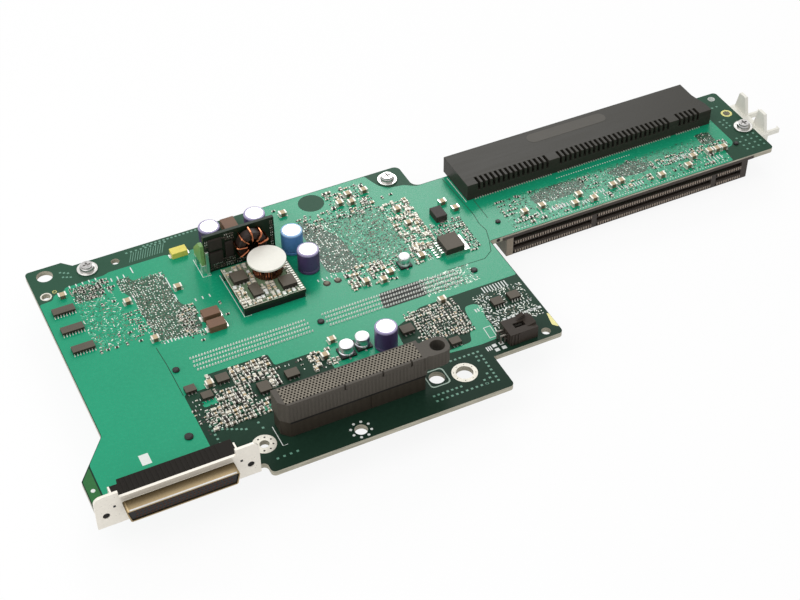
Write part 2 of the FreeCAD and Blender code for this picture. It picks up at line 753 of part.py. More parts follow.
def upright_module_bracket():
    front = UPRIGHT_FRONT_Y
    back = front + BRACKET_DEPTH
    profile = (
        (front, BOARD_TOP),
        (front, BOARD_TOP + BRACKET_FRONT_HEIGHT),
        (front + MODULE_BOARD * 2, BOARD_TOP + BRACKET_FRONT_HEIGHT),
        (back, BOARD_TOP + BRACKET_BACK_HEIGHT),
        (back, BOARD_TOP),
    )
    return [side_prism(profile, UPRIGHT_X - BRACKET_THICKNESS, UPRIGHT_X)]


def upright_module_chips():
    solids = []
    for x, along, z, tall, thick in UPRIGHT_CHIPS:
        left = UPRIGHT_X + x
        low = BOARD_TOP + z
        solids.append(block(left, left + along, UPRIGHT_FRONT_Y - thick, UPRIGHT_FRONT_Y, low, low + tall))
    return solids


def toroid_front():
    return UPRIGHT_FRONT_Y - WIRE - 2 * WIRE_CLEARANCE - TOROID_DEPTH


def toroid_core():
    z = BOARD_TOP + TOROID_Z
    front = toroid_front()
    back = front + TOROID_DEPTH
    outer = bar_along_y(TOROID_X, z, front, back, TOROID_R)
    return [outer.cut(bar_along_y(TOROID_X, z, front, back, TOROID_BORE_R))]


def toroid_winding():
    """Square turns of wire, each a loop around the core's section."""
    z = BOARD_TOP + TOROID_Z
    gap = WIRE_CLEARANCE
    front, back = toroid_front() - gap, toroid_front() + TOROID_DEPTH + gap
    inner, outer = TOROID_BORE_R - gap, TOROID_R + gap
    solids = []
    for turn in range(TOROID_TURNS):
        low = Vector(TOROID_X - WIRE / 2, front - WIRE, z + inner - WIRE)
        whole = Part.makeBox(WIRE, back - front + 2 * WIRE, outer - inner + 2 * WIRE, low)
        hollow_low = Vector(TOROID_X - WIRE / 2, front, z + inner)
        hollow = Part.makeBox(WIRE, back - front, outer - inner, hollow_low)
        loop = whole.cut(hollow)
        loop.rotate(Vector(TOROID_X, 0, z), Vector(0, 1, 0), 360 * turn / TOROID_TURNS)
        solids.append(loop)
    return solids


def flat_module_level():
    return BOARD_TOP + FLAT_GAP


def flat_module_board():
    low = flat_module_level()
    right, back = FLAT_X + FLAT_LENGTH, FLAT_FRONT_Y + FLAT_DEPTH
    return [block(FLAT_X, right, FLAT_FRONT_Y, back, low, low + MODULE_BOARD)]


def flat_module_strips():
    left, right = FLAT_X + FLAT_STRIP_INSET, FLAT_X + FLAT_LENGTH - FLAT_STRIP_INSET
    front = FLAT_FRONT_Y + FLAT_STRIP_INSET
    back = FLAT_FRONT_Y + FLAT_DEPTH - FLAT_STRIP_INSET - FLAT_STRIP
    top = flat_module_level()
    return [block(left, right, y, y + FLAT_STRIP, BOARD_TOP, top) for y in (front, back)]


def flat_module_chips():
    low = flat_module_level() + MODULE_BOARD
    solids = []
    for x, y, along_x, along_y, thick in FLAT_CHIPS:
        left, front = FLAT_X + x, FLAT_FRONT_Y + y
        solids.append(block(left, left + along_x, front, front + along_y, low, low + thick))
    return solids


def coil_winding():
    low = flat_module_level() + MODULE_BOARD
    return [post(COIL_X, COIL_Y, low, low + COIL_HEIGHT, COIL_R)]


def coil_disc():
    low = flat_module_level() + MODULE_BOARD + COIL_HEIGHT
    return [post(COIL_X, COIL_Y, low, low + COIL_DISC_THICKNESS, COIL_DISC_R)]


def can_capacitors():
    return [post(x, y, BOARD_TOP, BOARD_TOP + CAN_HEIGHT, CAN_R) for x, y in CANS]


def small_can_bases():
    solids = []
    for x, y, radius in SMALL_CANS:
        reach = radius + SMALL_CAN_BASE_MARGIN
        corners = (
            (x - reach, y - reach),
            (x + reach, y - reach),
            (x + reach, y + reach),
            (x - reach, y + reach),
        )
        solids.append(plan_prism(corners, BOARD_TOP, BOARD_TOP + SMALL_CAN_BASE))
    return solids


def small_cans():
    low, top = BOARD_TOP + SMALL_CAN_BASE, BOARD_TOP + SMALL_CAN_HEIGHT
    return [post(x, y, low, top, radius) for x, y, radius in SMALL_CANS]


def moulded_blocks(places):
    solids = []
    for x, y, along_x, along_y, height in places:
        solids.append(centred_block(x, y, along_x, along_y, BOARD_TOP, BOARD_TOP + height))
    return solids


def yellow_tantalum():
    return moulded_blocks(YELLOW_TANTALUMS)


def brown_tantalums():
    return moulded_blocks(BROWN_TANTALUMS)


def choke_block():
    return moulded_blocks(CHOKES)


def diode_block():
    return moulded_blocks(DIODES)


def small_regulators():
    return moulded_blocks(SMALL_REGULATORS)


def ceramic_capacitors():
    along_x, along_y, height = CERAMIC_SIZE
    return moulded_blocks([(x, y, along_x, along_y, height) for x, y in CERAMICS])


def outline_packages():
    low = BOARD_TOP + OUTLINE_STANDOFF
    top = low + OUTLINE_HEIGHT
    return [centred_block(x, y, along_x, along_y, low, top) for x, y, along_x, along_y in OUTLINE_PACKAGES]


def outline_leads():
    """Rows of gull leads along the front and back of each small-outline package."""
    solids = []
    for x, y, along_x, along_y in OUTLINE_PACKAGES:
        half = along_x / 2 - OUTLINE_LEAD_MARGIN
        for side in (-1, 1):
            edge = y + side * along_y / 2
            foot = edge + side * OUTLINE_LEAD_REACH
            profile = ((edge, BOARD_TOP), (foot, BOARD_TOP), (edge, BOARD_TOP + OUTLINE_LEAD_HEIGHT))
            solids.append(side_prism(profile, x - half, x + half))
    return solids


def power_package():
    along_x, along_y, height = POWER_BODY
    low = BOARD_TOP + POWER_TAB_THICKNESS
    return [centred_block(POWER_X, POWER_Y, along_x, along_y, low, BOARD_TOP + height)]


def power_package_tab():
    along_x, along_y, height = POWER_BODY
    left = POWER_X - along_x / 2
    right = POWER_X + along_x / 2 + POWER_TAB_REACH
    half = along_y / 2
    return [block(left, right, POWER_Y - half, POWER_Y + half, BOARD_TOP, BOARD_TOP + POWER_TAB_THICKNESS)]


def power_package_leads():
    """Leads that leave the body's left side and step down to the board."""
    edge = POWER_X - POWER_BODY[0] / 2
    thick = POWER_LEAD_THICKNESS
    shoulder = BOARD_TOP + POWER_LEAD_HEIGHT
    knee = edge - POWER_LEAD_REACH / 2
    foot = edge - POWER_LEAD_REACH
    profile = (
        (edge, shoulder),
        (knee, shoulder),
        (knee - thick, BOARD_TOP + thick),
        (foot, BOARD_TOP + thick),
        (foot, BOARD_TOP),
        (knee, BOARD_TOP),
        (knee + thick, shoulder - thick),
        (edge, shoulder - thick),
    )
    first = POWER_Y - (POWER_LEADS - 1) * POWER_LEAD_PITCH / 2
    half = POWER_LEAD_WIDTH / 2
    return [
        front_prism(profile, first + k * POWER_LEAD_PITCH - half, first + k * POWER_LEAD_PITCH + half)
        for k in range(POWER_LEADS)
    ]


def edge_clip():
    left, right = ARM_END_X, ARM_END_X + CLIP_RAIL
    front = CLIP_BACK_Y - CLIP_LENGTH
    low, top = BOARD_UNDER - CLIP_RAIL_DROP, BOARD_TOP
    pieces = [block(left, right, front, CLIP_BACK_Y, low, top)]
    first_y = (front + CLIP_BACK_Y + CLIP_FIN_PITCH) / 2
    for k in range(2):
        y = first_y - k * CLIP_FIN_PITCH
        fin = (
            (y - CLIP_FIN_BASE / 2, top),
            (y + CLIP_FIN_BASE / 2, top),
            (y + CLIP_FIN_TOP / 2, top + CLIP_FIN_HEIGHT),
            (y - CLIP_FIN_TOP / 2, top + CLIP_FIN_HEIGHT),
        )
        pieces.append(side_prism(fin, right - CLIP_FIN_THICKNESS, right))
        arm_y = y - CLIP_FIN_BASE / 2
        arm = (
            (right - CLIP_FIN_THICKNESS, arm_y),
            (right + CLIP_ARM_REACH, arm_y),
            (right + CLIP_ARM_REACH, arm_y + CLIP_ARM_THICKNESS * 2),
            (right + CLIP_ARM_REACH - CLIP_ARM_THICKNESS, arm_y + CLIP_ARM_THICKNESS),
            (right - CLIP_FIN_THICKNESS, arm_y + CLIP_ARM_THICKNESS),
        )
        pieces.append(plan_prism(arm, top - CLIP_ARM_HEIGHT, top))
    return [merge(pieces)]


def lean(shape):
    """Turn a piece drawn flat, module plane level, into the socket's place."""
    shape.rotate(Vector(0, 0, 0), Vector(1, 0, 0), -MEMORY_LEAN)
    shape.translate(Vector(0, MEMORY_Y - MEMORY_FOOT_BACK, BOARD_UNDER - MEMORY_FOOT_DROP))
    return shape


def tower_side(side):
    """Inner face and outer face of the tower on the left (-1) or right (1)."""
    inner = MEMORY_CENTRE_X + side * MEMORY_BAR_LENGTH / 2
    return inner, inner + side * TOWER_WIDTH


def latch_pivot_x(side):
    return tower_side(side)[0] + side * TOWER_WIDTH / 2


def memory_socket():
    half = MEMORY_BAR_THICKNESS / 2
    bar_left = MEMORY_CENTRE_X - MEMORY_BAR_LENGTH / 2
    bar_right = MEMORY_CENTRE_X + MEMORY_BAR_LENGTH / 2
    leaning = [block(bar_left, bar_right, 0, MEMORY_BAR_DEPTH, -half, half)]
    cuts = []
    slot_floor = MEMORY_BAR_DEPTH - MEMORY_SLOT_DEPTH
    slot_half = MEMORY_SLOT / 2
    slot_left = MEMORY_CENTRE_X - MEMORY_MODULE / 2
    slot_right = MEMORY_CENTRE_X + MEMORY_MODULE / 2
    key_left, key_right = MEMORY_KEY_X - MEMORY_KEY_WIDTH / 2, MEMORY_KEY_X + MEMORY_KEY_WIDTH / 2
    for start, end in ((slot_left, key_left), (key_right, slot_right)):
        cuts.append(block(start, end, slot_floor, MEMORY_BAR_DEPTH, -slot_half, slot_half))
    channel = LATCH_THICKNESS / 2 + LATCH_GAP
    for side in (-1, 1):
        inner, outer = tower_side(side)
        low_x, high_x = min(inner, outer), max(inner, outer)
        leaning.append(block(low_x, high_x, 0, TOWER_DEPTH, -TOWER_THICKNESS / 2, TOWER_THICKNESS / 2))
        cuts.append(block(low_x, high_x, TOWER_FLOOR, TOWER_DEPTH, -channel, channel))
    pivots = [post(latch_pivot_x(side), LATCH_PIVOT, -channel, channel, LATCH_PIN_R) for side in (-1, 1)]
    socket = lean(merge([merge(leaning).cut(cuts)] + pivots))
    angle = math.radians(MEMORY_LEAN)
    foot_y = MEMORY_Y - MEMORY_FOOT_BACK
    foot_z = BOARD_UNDER - MEMORY_FOOT_DROP
    top_y, top_z = foot_y + half * math.sin(angle), foot_z + half * math.cos(angle)
    low_y, low_z = foot_y - half * math.sin(angle), foot_z - half * math.cos(angle)
    wedge_y = top_y + MEMORY_WEDGE_REACH * math.cos(angle)
    wedge = (
        (low_y, BOARD_UNDER),
        (wedge_y, BOARD_UNDER),
        (wedge_y, top_z - MEMORY_WEDGE_REACH * math.sin(angle)),
        (top_y, top_z),
        (low_y, low_z),
    )
    return [merge([socket, side_prism(wedge, tower_side(-1)[1], tower_side(1)[1])])]


def memory_latch(side):
    """Ejector latch: a lever with a hook inwards and a finger tip outwards."""
    pivot = latch_pivot_x(side)
    half = LATCH_THICKNESS / 2
    hook = tower_side(side)[0] - side * LATCH_HOOK_REACH
    neck = LATCH_TIP - LATCH_NECK_DROP
    outer, inner = pivot + side * LATCH_R, pivot - side * LATCH_R
    profile = (
        (outer, LATCH_PIVOT),
        (outer, neck),
        (outer + side * LATCH_FINGER_REACH, LATCH_TIP - LATCH_FINGER_DROP),
        (outer + side * LATCH_CREST_REACH, LATCH_TIP),
        (inner, LATCH_TIP - LATCH_SHOULDER_DROP),
        (hook, neck),
        (hook, neck - LATCH_HOOK_THICKNESS),
        (inner, neck - LATCH_HOOK_ROOT),
        (inner, LATCH_PIVOT),
        (pivot - side * LATCH_HEEL / 2, LATCH_PIVOT - LATCH_R),
        (pivot + side * LATCH_HEEL / 2, LATCH_PIVOT - LATCH_R),
    )
    bore = post(pivot, LATCH_PIVOT, -half, half, LATCH_PIN_R + LATCH_PIN_CLEARANCE)
    return lean(plan_prism(profile, -half, half).cut(bore))


def memory_latch_left():
    return [memory_latch(-1)]


def memory_latch_right():
    return [memory_latch(1)]


def ball_chip(x, y, side):
    balls_z = BOARD_UNDER - BALL_GAP
    balls = centred_block(x, y, side - 2 * BALL_INSET, side - 2 * BALL_INSET, balls_z, BOARD_UNDER)
    substrate = centred_block(x, y, side, side, balls_z - CHIP_SUBSTRATE, balls_z)
    return merge([balls, substrate])


def ball_chip_substrates():
    return [ball_chip(x, y, side) for x, y, side, lid in BALL_CHIPS]


def ball_chip_lids():
    top = BOARD_UNDER - BALL_GAP - CHIP_SUBSTRATE
    return [centred_block(x, y, lid, lid, top - CHIP_LID, top) for x, y, side, lid in BALL_CHIPS]


NODES = (
    circuit_board,
    screws,
    spacers,
    upper_slot_housing,
    upper_slot_contacts,
    lower_slot_housing,
    lower_slot_contacts,
    grid_connector_base,
    grid_connector_cap,
    connector_shell,
    connector_body,
    connector_insert,
    header_shroud,
    header_pins,
    upright_module_board,
    upright_module_bracket,
    upright_module_chips,
    toroid_core,
    toroid_winding,
    flat_module_board,
    flat_module_strips,
    flat_module_chips,
    coil_winding,
    coil_disc,
    can_capacitors,
    small_can_bases,
    small_cans,
    yellow_tantalum,
    brown_tantalums,
    choke_block,
    diode_block,
    small_regulators,
    ceramic_capacitors,
    outline_packages,
    outline_leads,
    power_package,
    power_package_tab,
    power_package_leads,
    edge_clip,
    memory_socket,
    memory_latch_left,
    memory_latch_right,
    ball_chip_substrates,
    ball_chip_lids,
)


def main():
    os.makedirs("parts", exist_ok=True)
    shapes = {}
    for make in NODES:
        solids = make()
        shapes[make.__name__] = solids[0] if len(solids) == 1 else Part.makeCompound(solids)
    box = Part.makeCompound(list(shapes.values())).BoundBox
    to_centre = Vector(-box.Center.x, -box.Center.y, -box.ZMin)
    for name, shape in shapes.items():
        shape.translate(to_centre)
        shape.exportStep("parts/" + name + ".step")
    print("board datum at", to_centre)


main()
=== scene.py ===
import math
import random

import bmesh
import bpy
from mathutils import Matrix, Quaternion, Vector
from mathutils.geometry import tessellate_polygon


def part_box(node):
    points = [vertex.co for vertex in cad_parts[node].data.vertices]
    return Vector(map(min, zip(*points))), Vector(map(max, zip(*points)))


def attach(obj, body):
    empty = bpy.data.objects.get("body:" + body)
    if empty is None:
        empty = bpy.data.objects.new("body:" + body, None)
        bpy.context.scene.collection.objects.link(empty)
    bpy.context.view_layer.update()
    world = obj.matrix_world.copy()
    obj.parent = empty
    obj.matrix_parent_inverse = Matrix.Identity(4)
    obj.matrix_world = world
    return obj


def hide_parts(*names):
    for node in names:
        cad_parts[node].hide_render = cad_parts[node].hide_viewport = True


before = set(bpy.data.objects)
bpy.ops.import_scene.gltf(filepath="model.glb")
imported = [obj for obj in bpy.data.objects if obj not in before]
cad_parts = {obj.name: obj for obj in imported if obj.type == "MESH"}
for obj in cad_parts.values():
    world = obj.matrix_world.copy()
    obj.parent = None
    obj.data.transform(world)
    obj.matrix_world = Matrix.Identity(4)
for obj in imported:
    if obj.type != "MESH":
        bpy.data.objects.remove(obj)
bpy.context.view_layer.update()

# Sizes are millimetres in the board's own frame: x and y from its back left corner,
# z from its top face. The frame gives the place of that corner.
MM = 0.001
LEFT_TAB_X = -14.0
BOARD_LOW, BOARD_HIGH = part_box("circuit_board")
DATUM = Vector((BOARD_LOW.x - LEFT_TAB_X * MM, BOARD_HIGH.y, BOARD_HIGH.z))
UNDERSIDE = (BOARD_LOW.z - BOARD_HIGH.z) / MM

# Tops of the copper and of the pads on the board, and the level where marks begin
POUR = 0.03
PAD = 0.07
SUNK = POUR / 2

PITCH = 1.27
SIDES = (-1, 1)
QUARTER = math.pi / 2


def place(point):
    return (DATUM.x + point[0] * MM, DATUM.y + point[1] * MM, DATUM.z + point[2] * MM)


def span(node):
    """Lowest and highest corner of a node, in the board's frame."""
    low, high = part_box(node)
    return (low - DATUM) / MM, (high - DATUM) / MM


def spaced(start, end, pitch):
    """Places at a pitch from a start up to an end."""
    return [start + k * pitch for k in range(int((end - start) / pitch) + 1)]


# Outlines are lists of (x, y)

def polar(x, y, radius, turn):
    return x + radius * math.cos(turn), y + radius * math.sin(turn)


def around(count, start=0.0):
    """Even steps round a full turn."""
    return [2 * math.pi * (k + start) / count for k in range(count)]


def circle(x, y, radius, count=28):
    return [polar(x, y, radius, turn) for turn in around(count)]


def rectangle(x0, x1, y0, y1):
    return [(x0, y0), (x1, y0), (x1, y1), (x0, y1)]


def cross(x, y, arm, width):
    corners = [(arm, width), (width, width), (width, arm)]
    for k in range(9):
        a, b = corners[k]
        corners.append((-b, a))
    return [(x + a, y + b) for a, b in corners]


def rounded(corners, radius, steps=4):
    """Closed outline with every corner rounded."""
    outline = []
    for k, corner in enumerate(corners):
        here = Vector(corner)
        back = Vector(corners[k - 1]) - here
        ahead = Vector(corners[(k + 1) % len(corners)]) - here
        reach = min(radius, back.length / 2.2, ahead.length / 2.2)
        start, end = here + back.normalized() * reach, here + ahead.normalized() * reach
        for i in range(steps + 1):
            t = i / steps
            outline.append(tuple(start * (1 - t) ** 2 + here * 2 * t * (1 - t) + end * t ** 2))
    return outline


def inside(x, y, outline):
    odd = False
    for k, (bx, by) in enumerate(outline):
        ax, ay = outline[k - 1]
        if (ay > y) != (by > y) and x < ax + (y - ay) * (bx - ax) / (by - ay):
            odd = not odd
    return odd


def lifted(outline, z):
    return [(x, y, z) for x, y in outline]


class Shape:
    """Closed solids, gathered into one mesh."""

    def __init__(self):
        self.points = []
        self.faces = []

    def add(self, points, faces):
        start = len(self.points)
        self.points += points
        self.faces += [tuple(start + i for i in face) for face in faces]
        return self

    def stamp(self, other, x, y, z=0.0, turn=0.0):
        c, s = math.cos(turn), math.sin(turn)
        self.add([(x + c * a - s * b, y + s * a + c * b, z + h) for a, b, h in other.points], other.faces)

    def stand(self, other, x, y, z):
        """Stamp turned upright, its top to the front."""
        return self.add([(x + a, y - h, z + b) for a, b, h in other.points], other.faces)

    def loft(self, rings, closed=False):
        """Skin over rings of equal count, with flat ends unless it closes on itself."""
        count, levels = len(rings[0]), len(rings)
        top = (levels - 1) * count
        faces = [] if closed else [tuple(range(count))[::-1]]
        for level in range(levels if closed else levels - 1):
            low, high = level * count, (level + 1) % levels * count
            for k in range(count):
                after = (k + 1) % count
                faces.append((low + k, low + after, high + after, high + k))
        if not closed:
            faces.append(tuple(range(top, top + count)))
        return self.add([p for ring in rings for p in ring], faces)

    def block(self, x0, x1, y0, y1, z0, z1, chamfer=0.0):
        """Box between two pairs of sides in either order, its upper edges chamfered if asked."""
        (x0, x1), (y0, y1) = sorted((x0, x1)), sorted((y0, y1))
        base = rectangle(x0, x1, y0, y1)
        rings = [lifted(base, z0), lifted(base, z1 - chamfer)]
        if chamfer:
            rings.append(lifted(rectangle(x0 + chamfer, x1 - chamfer, y0 + chamfer, y1 - chamfer), z1))
        return self.loft(rings)

    def centred(self, x, y, along_x, along_y, z0, z1, chamfer=0.0):
        half_x, half_y = along_x / 2, along_y / 2
        self.block(x - half_x, x + half_x, y - half_y, y + half_y, z0, z1, chamfer)

    def turned(self, x, y, profile, count):
        """Solid of revolution about an upright axis, from (radius, z) upwards."""
        return self.loft([lifted(circle(x, y, radius, count), z) for radius, z in profile])

    def disc(self, x, y, radius, z0, z1, count):
        return self.turned(x, y, ((radius, z0), (radius, z1)), count)

    def ring(self, x, y, inner, outer, z0, z1, count):
        profile = ((outer, z0), (outer, z1), (inner, z1), (inner, z0))
        self.loft([lifted(circle(x, y, radius, count), z) for radius, z in profile], closed=True)

    def plate(self, loops, z0, z1):
        """Flat plate from an outer outline and any holes."""
        flat = [p for loop in loops for p in loop]
        count = len(flat)
        triangles = tessellate_polygon([[Vector(p) for p in lifted(loop, 0)] for loop in loops])
        faces = [tuple(t) for t in triangles] + [tuple(i + count for i in t) for t in triangles]
        start = 0
        for loop in loops:
            size = len(loop)
            for k in range(size):
                a, b = start + k, start + (k + 1) % size
                faces.append((a, b, b + count, a + count))
            start += size
        return self.add(lifted(flat, z0) + lifted(flat, z1), faces)

    def strip(self, path, width, z0, z1):
        """Flat track of even width along a path of (x, y)."""
        left, right = [], []
        for k, (x, y) in enumerate(path):
            ax, ay = path[max(k - 1, 0)]
            bx, by = path[min(k + 1, len(path) - 1)]
            length = math.hypot(bx - ax, by - ay)
            nx, ny = -(by - ay) / length * width / 2, (bx - ax) / length * width / 2
            left.append((x + nx, y + ny))
            right.append((x - nx, y - ny))
        self.plate([left + right[::-1]], z0, z1)

    def terrain(self, xs, ys, height, z0):
        """Block over a grid of cells, each with its own top height."""
        numbers = {}
        across, down = len(xs) - 1, len(ys) - 1

        def corner(x, y, z):
            key = (round(x, 4), round(y, 4), round(z, 4))
            if key not in numbers:
                numbers[key] = len(self.points)
                self.points.append((x, y, z))
            return numbers[key]

        def face(*corners):
            self.faces.append(tuple(corner(*c) for c in corners))

        def level(i, j):
            return height(i, j) if 0 <= i < across and 0 <= j < down else z0

        for i in range(across):
            for j in range(down):
                a, b, c, d = rectangle(xs[i], xs[i + 1], ys[j], ys[j + 1])
                top = level(i, j)
                for z in (z0, top):
                    face(*lifted((a, b, c, d), z))
                walls = ((a, d, i - 1, j), (b, c, i + 1, j), (a, b, i, j - 1), (d, c, i, j + 1))
                for p, q, *beside in walls:
                    low = level(*beside)
                    if low < top:
                        face((*p, low), (*q, low), (*q, top), (*p, top))

    def profile_y(self, corners, y0, y1):
        """Profile of (x, z) corners drawn along y."""
        self.loft([[(x, y, z) for x, z in corners] for y in (y0, y1)])

    def profile_x(self, corners, x0, x1):
        """Profile of (y, z) corners drawn along x."""
        self.loft([[(x, y, z) for y, z in corners] for x in (x0, x1)])

    def tube(self, path, radius, count):
        """Round wire along a closed path of points."""
        path = [Vector(p) for p in path]
        side = (path[1] - path[-1]).normalized().orthogonal().normalized()
        rings = []
        for k, point in enumerate(path):
            along = (path[(k + 1) % len(path)] - path[k - 1]).normalized()
            side = (side - along * side.dot(along)).normalized()
            up = along.cross(side)
            rings.append([point + (side * math.cos(t) + up * math.sin(t)) * radius for t in around(count)])
        self.loft(rings, closed=True)


# Materials

def rgb(red, green, blue):
    """Linear colour from the eight-bit colour seen."""
    linear = []
    for value in (red, green, blue):
        v = value / 255
        linear.append(v / 12.92 if v <= 0.04045 else ((v + 0.055) / 1.055) ** 2.4)
    return (*linear, 1.0)


def shade(colour, factor):
    return tuple(min(1.0, c * factor) for c in colour[:3]) + (1.0,)


class Graph:
    """A tree of shader nodes."""

    def __init__(self, tree):
        self.nodes, self.links = tree.nodes, tree.links

    def feed(self, socket, value):
        """Link an output to a socket, or give the socket a value."""
        if isinstance(value, bpy.types.NodeSocket):
            self.links.new(value, socket)
        else:
            socket.default_value = value

    def supply(self, node, **inputs):
        for name, value in inputs.items():
            self.feed(node.inputs[name.replace("_", " ")], value)

    def node(self, kind, **inputs):
        node = self.nodes.new("ShaderNode" + kind)
        self.supply(node, **inputs)
        return node

    def math(self, operation, first, second=0.0):
        node = self.node("Math")
        node.operation = operation
        self.feed(node.inputs[0], first)
        self.feed(node.inputs[1], second)
        return node.outputs["Value"]


class Finish(Graph):
    """A material under construction: colour, roughness and relief from patterns."""

    def __init__(self, **sockets):
        self.material = bpy.data.materials.new("finish")
        self.material.use_nodes = True
        super().__init__(self.material.node_tree)
        self.shader = self.nodes["Principled BSDF"]
        self.supply(self.shader, **sockets)
        self.where = self.node("TexCoord").outputs["Object"]

    def stretched(self, x, y, z):
        return self.node("Mapping", Vector=self.where, Scale=(x, y, z)).outputs["Vector"]

    def noise(self, per_metre, detail=3.0, where=None):
        noise = self.node("TexNoise", Vector=where or self.where, Scale=per_metre, Detail=detail)
        return noise.outputs["Fac"]

    def bands(self, axis, period):
        wave = self.node("TexWave", Vector=self.where, Scale=math.pi / 10 / (period * MM))
        wave.bands_direction = axis
        return wave.outputs["Fac"]

    def along_y(self, start, end):
        """0 at one y of the board's frame, 1 at another."""
        y = self.node("SeparateXYZ", Vector=self.where).outputs["Y"]
        first, last = DATUM.y + start * MM, DATUM.y + end * MM
        return self.node("MapRange", Value=y, From_Min=first, From_Max=last).outputs["Result"]

    def upright(self):
        """1 on steep faces, 0 on level ones."""
        normal = self.node("NewGeometry").outputs["True Normal"]
        height = self.node("SeparateXYZ", Vector=normal).outputs["Z"]
        return self.math("LESS_THAN", self.math("ABSOLUTE", height), 0.5)

    def blend(self, first, second, share=0.5):
        """Two patterns added, the first by its share and the second by the rest."""
        return self.math("ADD", self.math("MULTIPLY", first, share), self.math("MULTIPLY", second, 1 - share))

    def mix(self, factor, first, second):
        node = self.node("Mix")
        node.data_type = "RGBA"
        self.supply(node, Factor=factor, A=first, B=second)
        return node.outputs["Result"]

    def ramp(self, factor, *stops):
        ramp = self.node("ValToRGB", Fac=factor)
        elements = ramp.color_ramp.elements
        while len(elements) < len(stops):
            elements.new(0.5)
        for element, (position, colour) in zip(elements, stops):
            element.position = position
            element.color = colour
        return ramp.outputs["Color"]

    def tones(self, factor, colour, vary, reach=0.2):
        """Colour from darker to paler about the middle of a pattern."""
        dark, pale = shade(colour, 1 - vary), shade(colour, 1 + vary)
        return self.ramp(factor, (0.5 - reach, dark), (0.5, colour), (0.5 + reach, pale))

    def done(self, colour, rough, relief):
        """The material, with roughness as (pattern, low, high) and relief as (pattern, depth, strength)."""
        pattern, low, high = rough
        level = self.node("MapRange", Value=pattern, To_Min=low, To_Max=high).outputs["Result"]
        height, depth, strength = relief
        bump = self.node("Bump", Height=height, Distance=depth * MM, Strength=strength).outputs["Normal"]
        self.supply(self.shader, Base_Color=colour, Roughness=level, Normal=bump)
        return self.material


def grained(colour, rough=0.5, vary=0.12, side_shade=1.0, **sockets):
    """Moulded or fired stuff: mottled colour, fine grain, and painted shade on steep sides if asked."""
    finish = Finish(**{"Specular_IOR_Level": 0.3, **sockets})
    fine = finish.noise(1500.0, 4.0)
    tone = finish.tones(finish.blend(finish.noise(187.5), fine), rgb(*colour), vary)
    # Painted shade: steep faces take a darker copy of the colour.
    if side_shade < 1.0:
        tone = finish.mix(finish.upright(), tone, shade(rgb(*colour), side_shade))
    return finish.done(tone, (fine, rough - 0.08, rough + 0.08), (fine, 0.03, 0.6))


def metal(colour, rough=0.25, vary=0.1, brushed=(1.0, 1.0, 1.0)):
    """Bare metal with a drawn or mottled surface."""
    finish = Finish(Metallic=1.0)
    fine = finish.noise(900.0, 4.0, finish.stretched(*brushed))
    both = finish.blend(finish.noise(90.0), fine)
    tone = finish.tones(both, rgb(*colour), vary)
    return finish.done(tone, (both, rough - 0.1, rough + 0.12), (fine, 0.01, 0.4))


def solder_mask(colour, rough=0.24):
    """Green lacquer over copper or bare board, with a faint orange peel."""
    finish = Finish(Specular_IOR_Level=0.26)
    fine = finish.noise(700.0, 4.0)
    tone = finish.tones(finish.blend(finish.noise(35.0, 2.0), fine), rgb(*colour), 0.05, 0.18)
    return finish.done(tone, (fine, rough - 0.06, rough + 0.1), (finish.noise(1200.0), 0.01, 0.15))


def ribbed(colour, period, depth, shine):
    """Moulded plastic with upright ribs, whose light and shade are also painted into the colour as stripes on
    steep faces.
    """
    finish = Finish(Specular_IOR_Level=shine)
    fine = finish.noise(1500.0, 4.0)
    ribs = finish.math("MULTIPLY", finish.bands("X", period), finish.upright())
    tone = finish.tones(finish.blend(ribs, fine, 0.2), rgb(*colour), 0.12, 0.25)
    return finish.done(tone, (fine, 0.42, 0.58), (ribs, depth, 0.7))


def drawn_plastic(colour):
    """Moulded plastic with faint flow lines along its length."""
    finish = Finish(Specular_IOR_Level=0.15)
    lines = finish.noise(60.0, 6.0, finish.stretched(0.6, 18.0, 18.0))
    fine = finish.noise(1600.0)
    tone = finish.tones(finish.blend(lines, fine), rgb(*colour), 0.2)
    return finish.done(tone, (lines, 0.32, 0.52), (fine, 0.02, 0.5))


FLANGE_FRONT_Y = -148.3
SHELL_LIP_Y = -153.9


def shell_metal(flange, shell):
    """Bright plated flange; the drawn shell in front of it dull, with painted shade darkest by the flange and
    paling towards its lip.
    """
    finish = Finish()
    flange, shell = rgb(*flange), rgb(*shell)
    fine = finish.noise(900.0, 4.0, finish.stretched(1.0, 12.0, 1.0))
    reach = finish.along_y(FLANGE_FRONT_Y, SHELL_LIP_Y)
    ahead = finish.math("GREATER_THAN", reach, 0.0)
    bright = finish.ramp(fine, (0.3, shade(flange, 0.94)), (0.7, flange))
    # Painted shade on the shell: darkest by the flange, lighter towards the lip.
    painted_shade = finish.math("ADD", reach, finish.math("MULTIPLY", fine, 0.3))
    dull = finish.ramp(painted_shade, (0.1, shade(shell, 0.16)), (0.6, shade(shell, 0.5)), (1.0, shell))
    bare = finish.math("ADD", finish.math("MULTIPLY", ahead, 0.75), 0.25)
    finish.supply(finish.shader, Metallic=bare)
    return finish.done(finish.mix(ahead, bright, dull), (fine, 0.22, 0.38), (fine, 0.01, 0.4))


def board_laminate(face, edge):
    """Lacquered faces with painted shade, darker towards the front; bare glass cloth layers along the cut
    edges.
    """
    finish = Finish(Specular_IOR_Level=0.05)
    face, edge = rgb(*face), rgb(*edge)
    fine = finish.noise(800.0, 4.0)
    # Painted shade: the lacquer is darkened towards the front of the board, where the light falls off.
    depth = finish.blend(finish.along_y(-150.0, -20.0), fine, 0.8)
    shaded_lacquer = finish.ramp(depth, (0.1, shade(face, 0.42)), (0.9, shade(face, 1.25)))
    layers = finish.noise(1600.0, 2.0, finish.stretched(0.08, 0.08, 2.0))
    cloth = finish.ramp(layers, (0.35, shade(edge, 0.7)), (0.6, shade(edge, 1.1)))
    return finish.done(finish.mix(finish.upright(), shaded_lacquer, cloth), (fine, 0.26, 0.4), (fine, 0.012, 0.4))


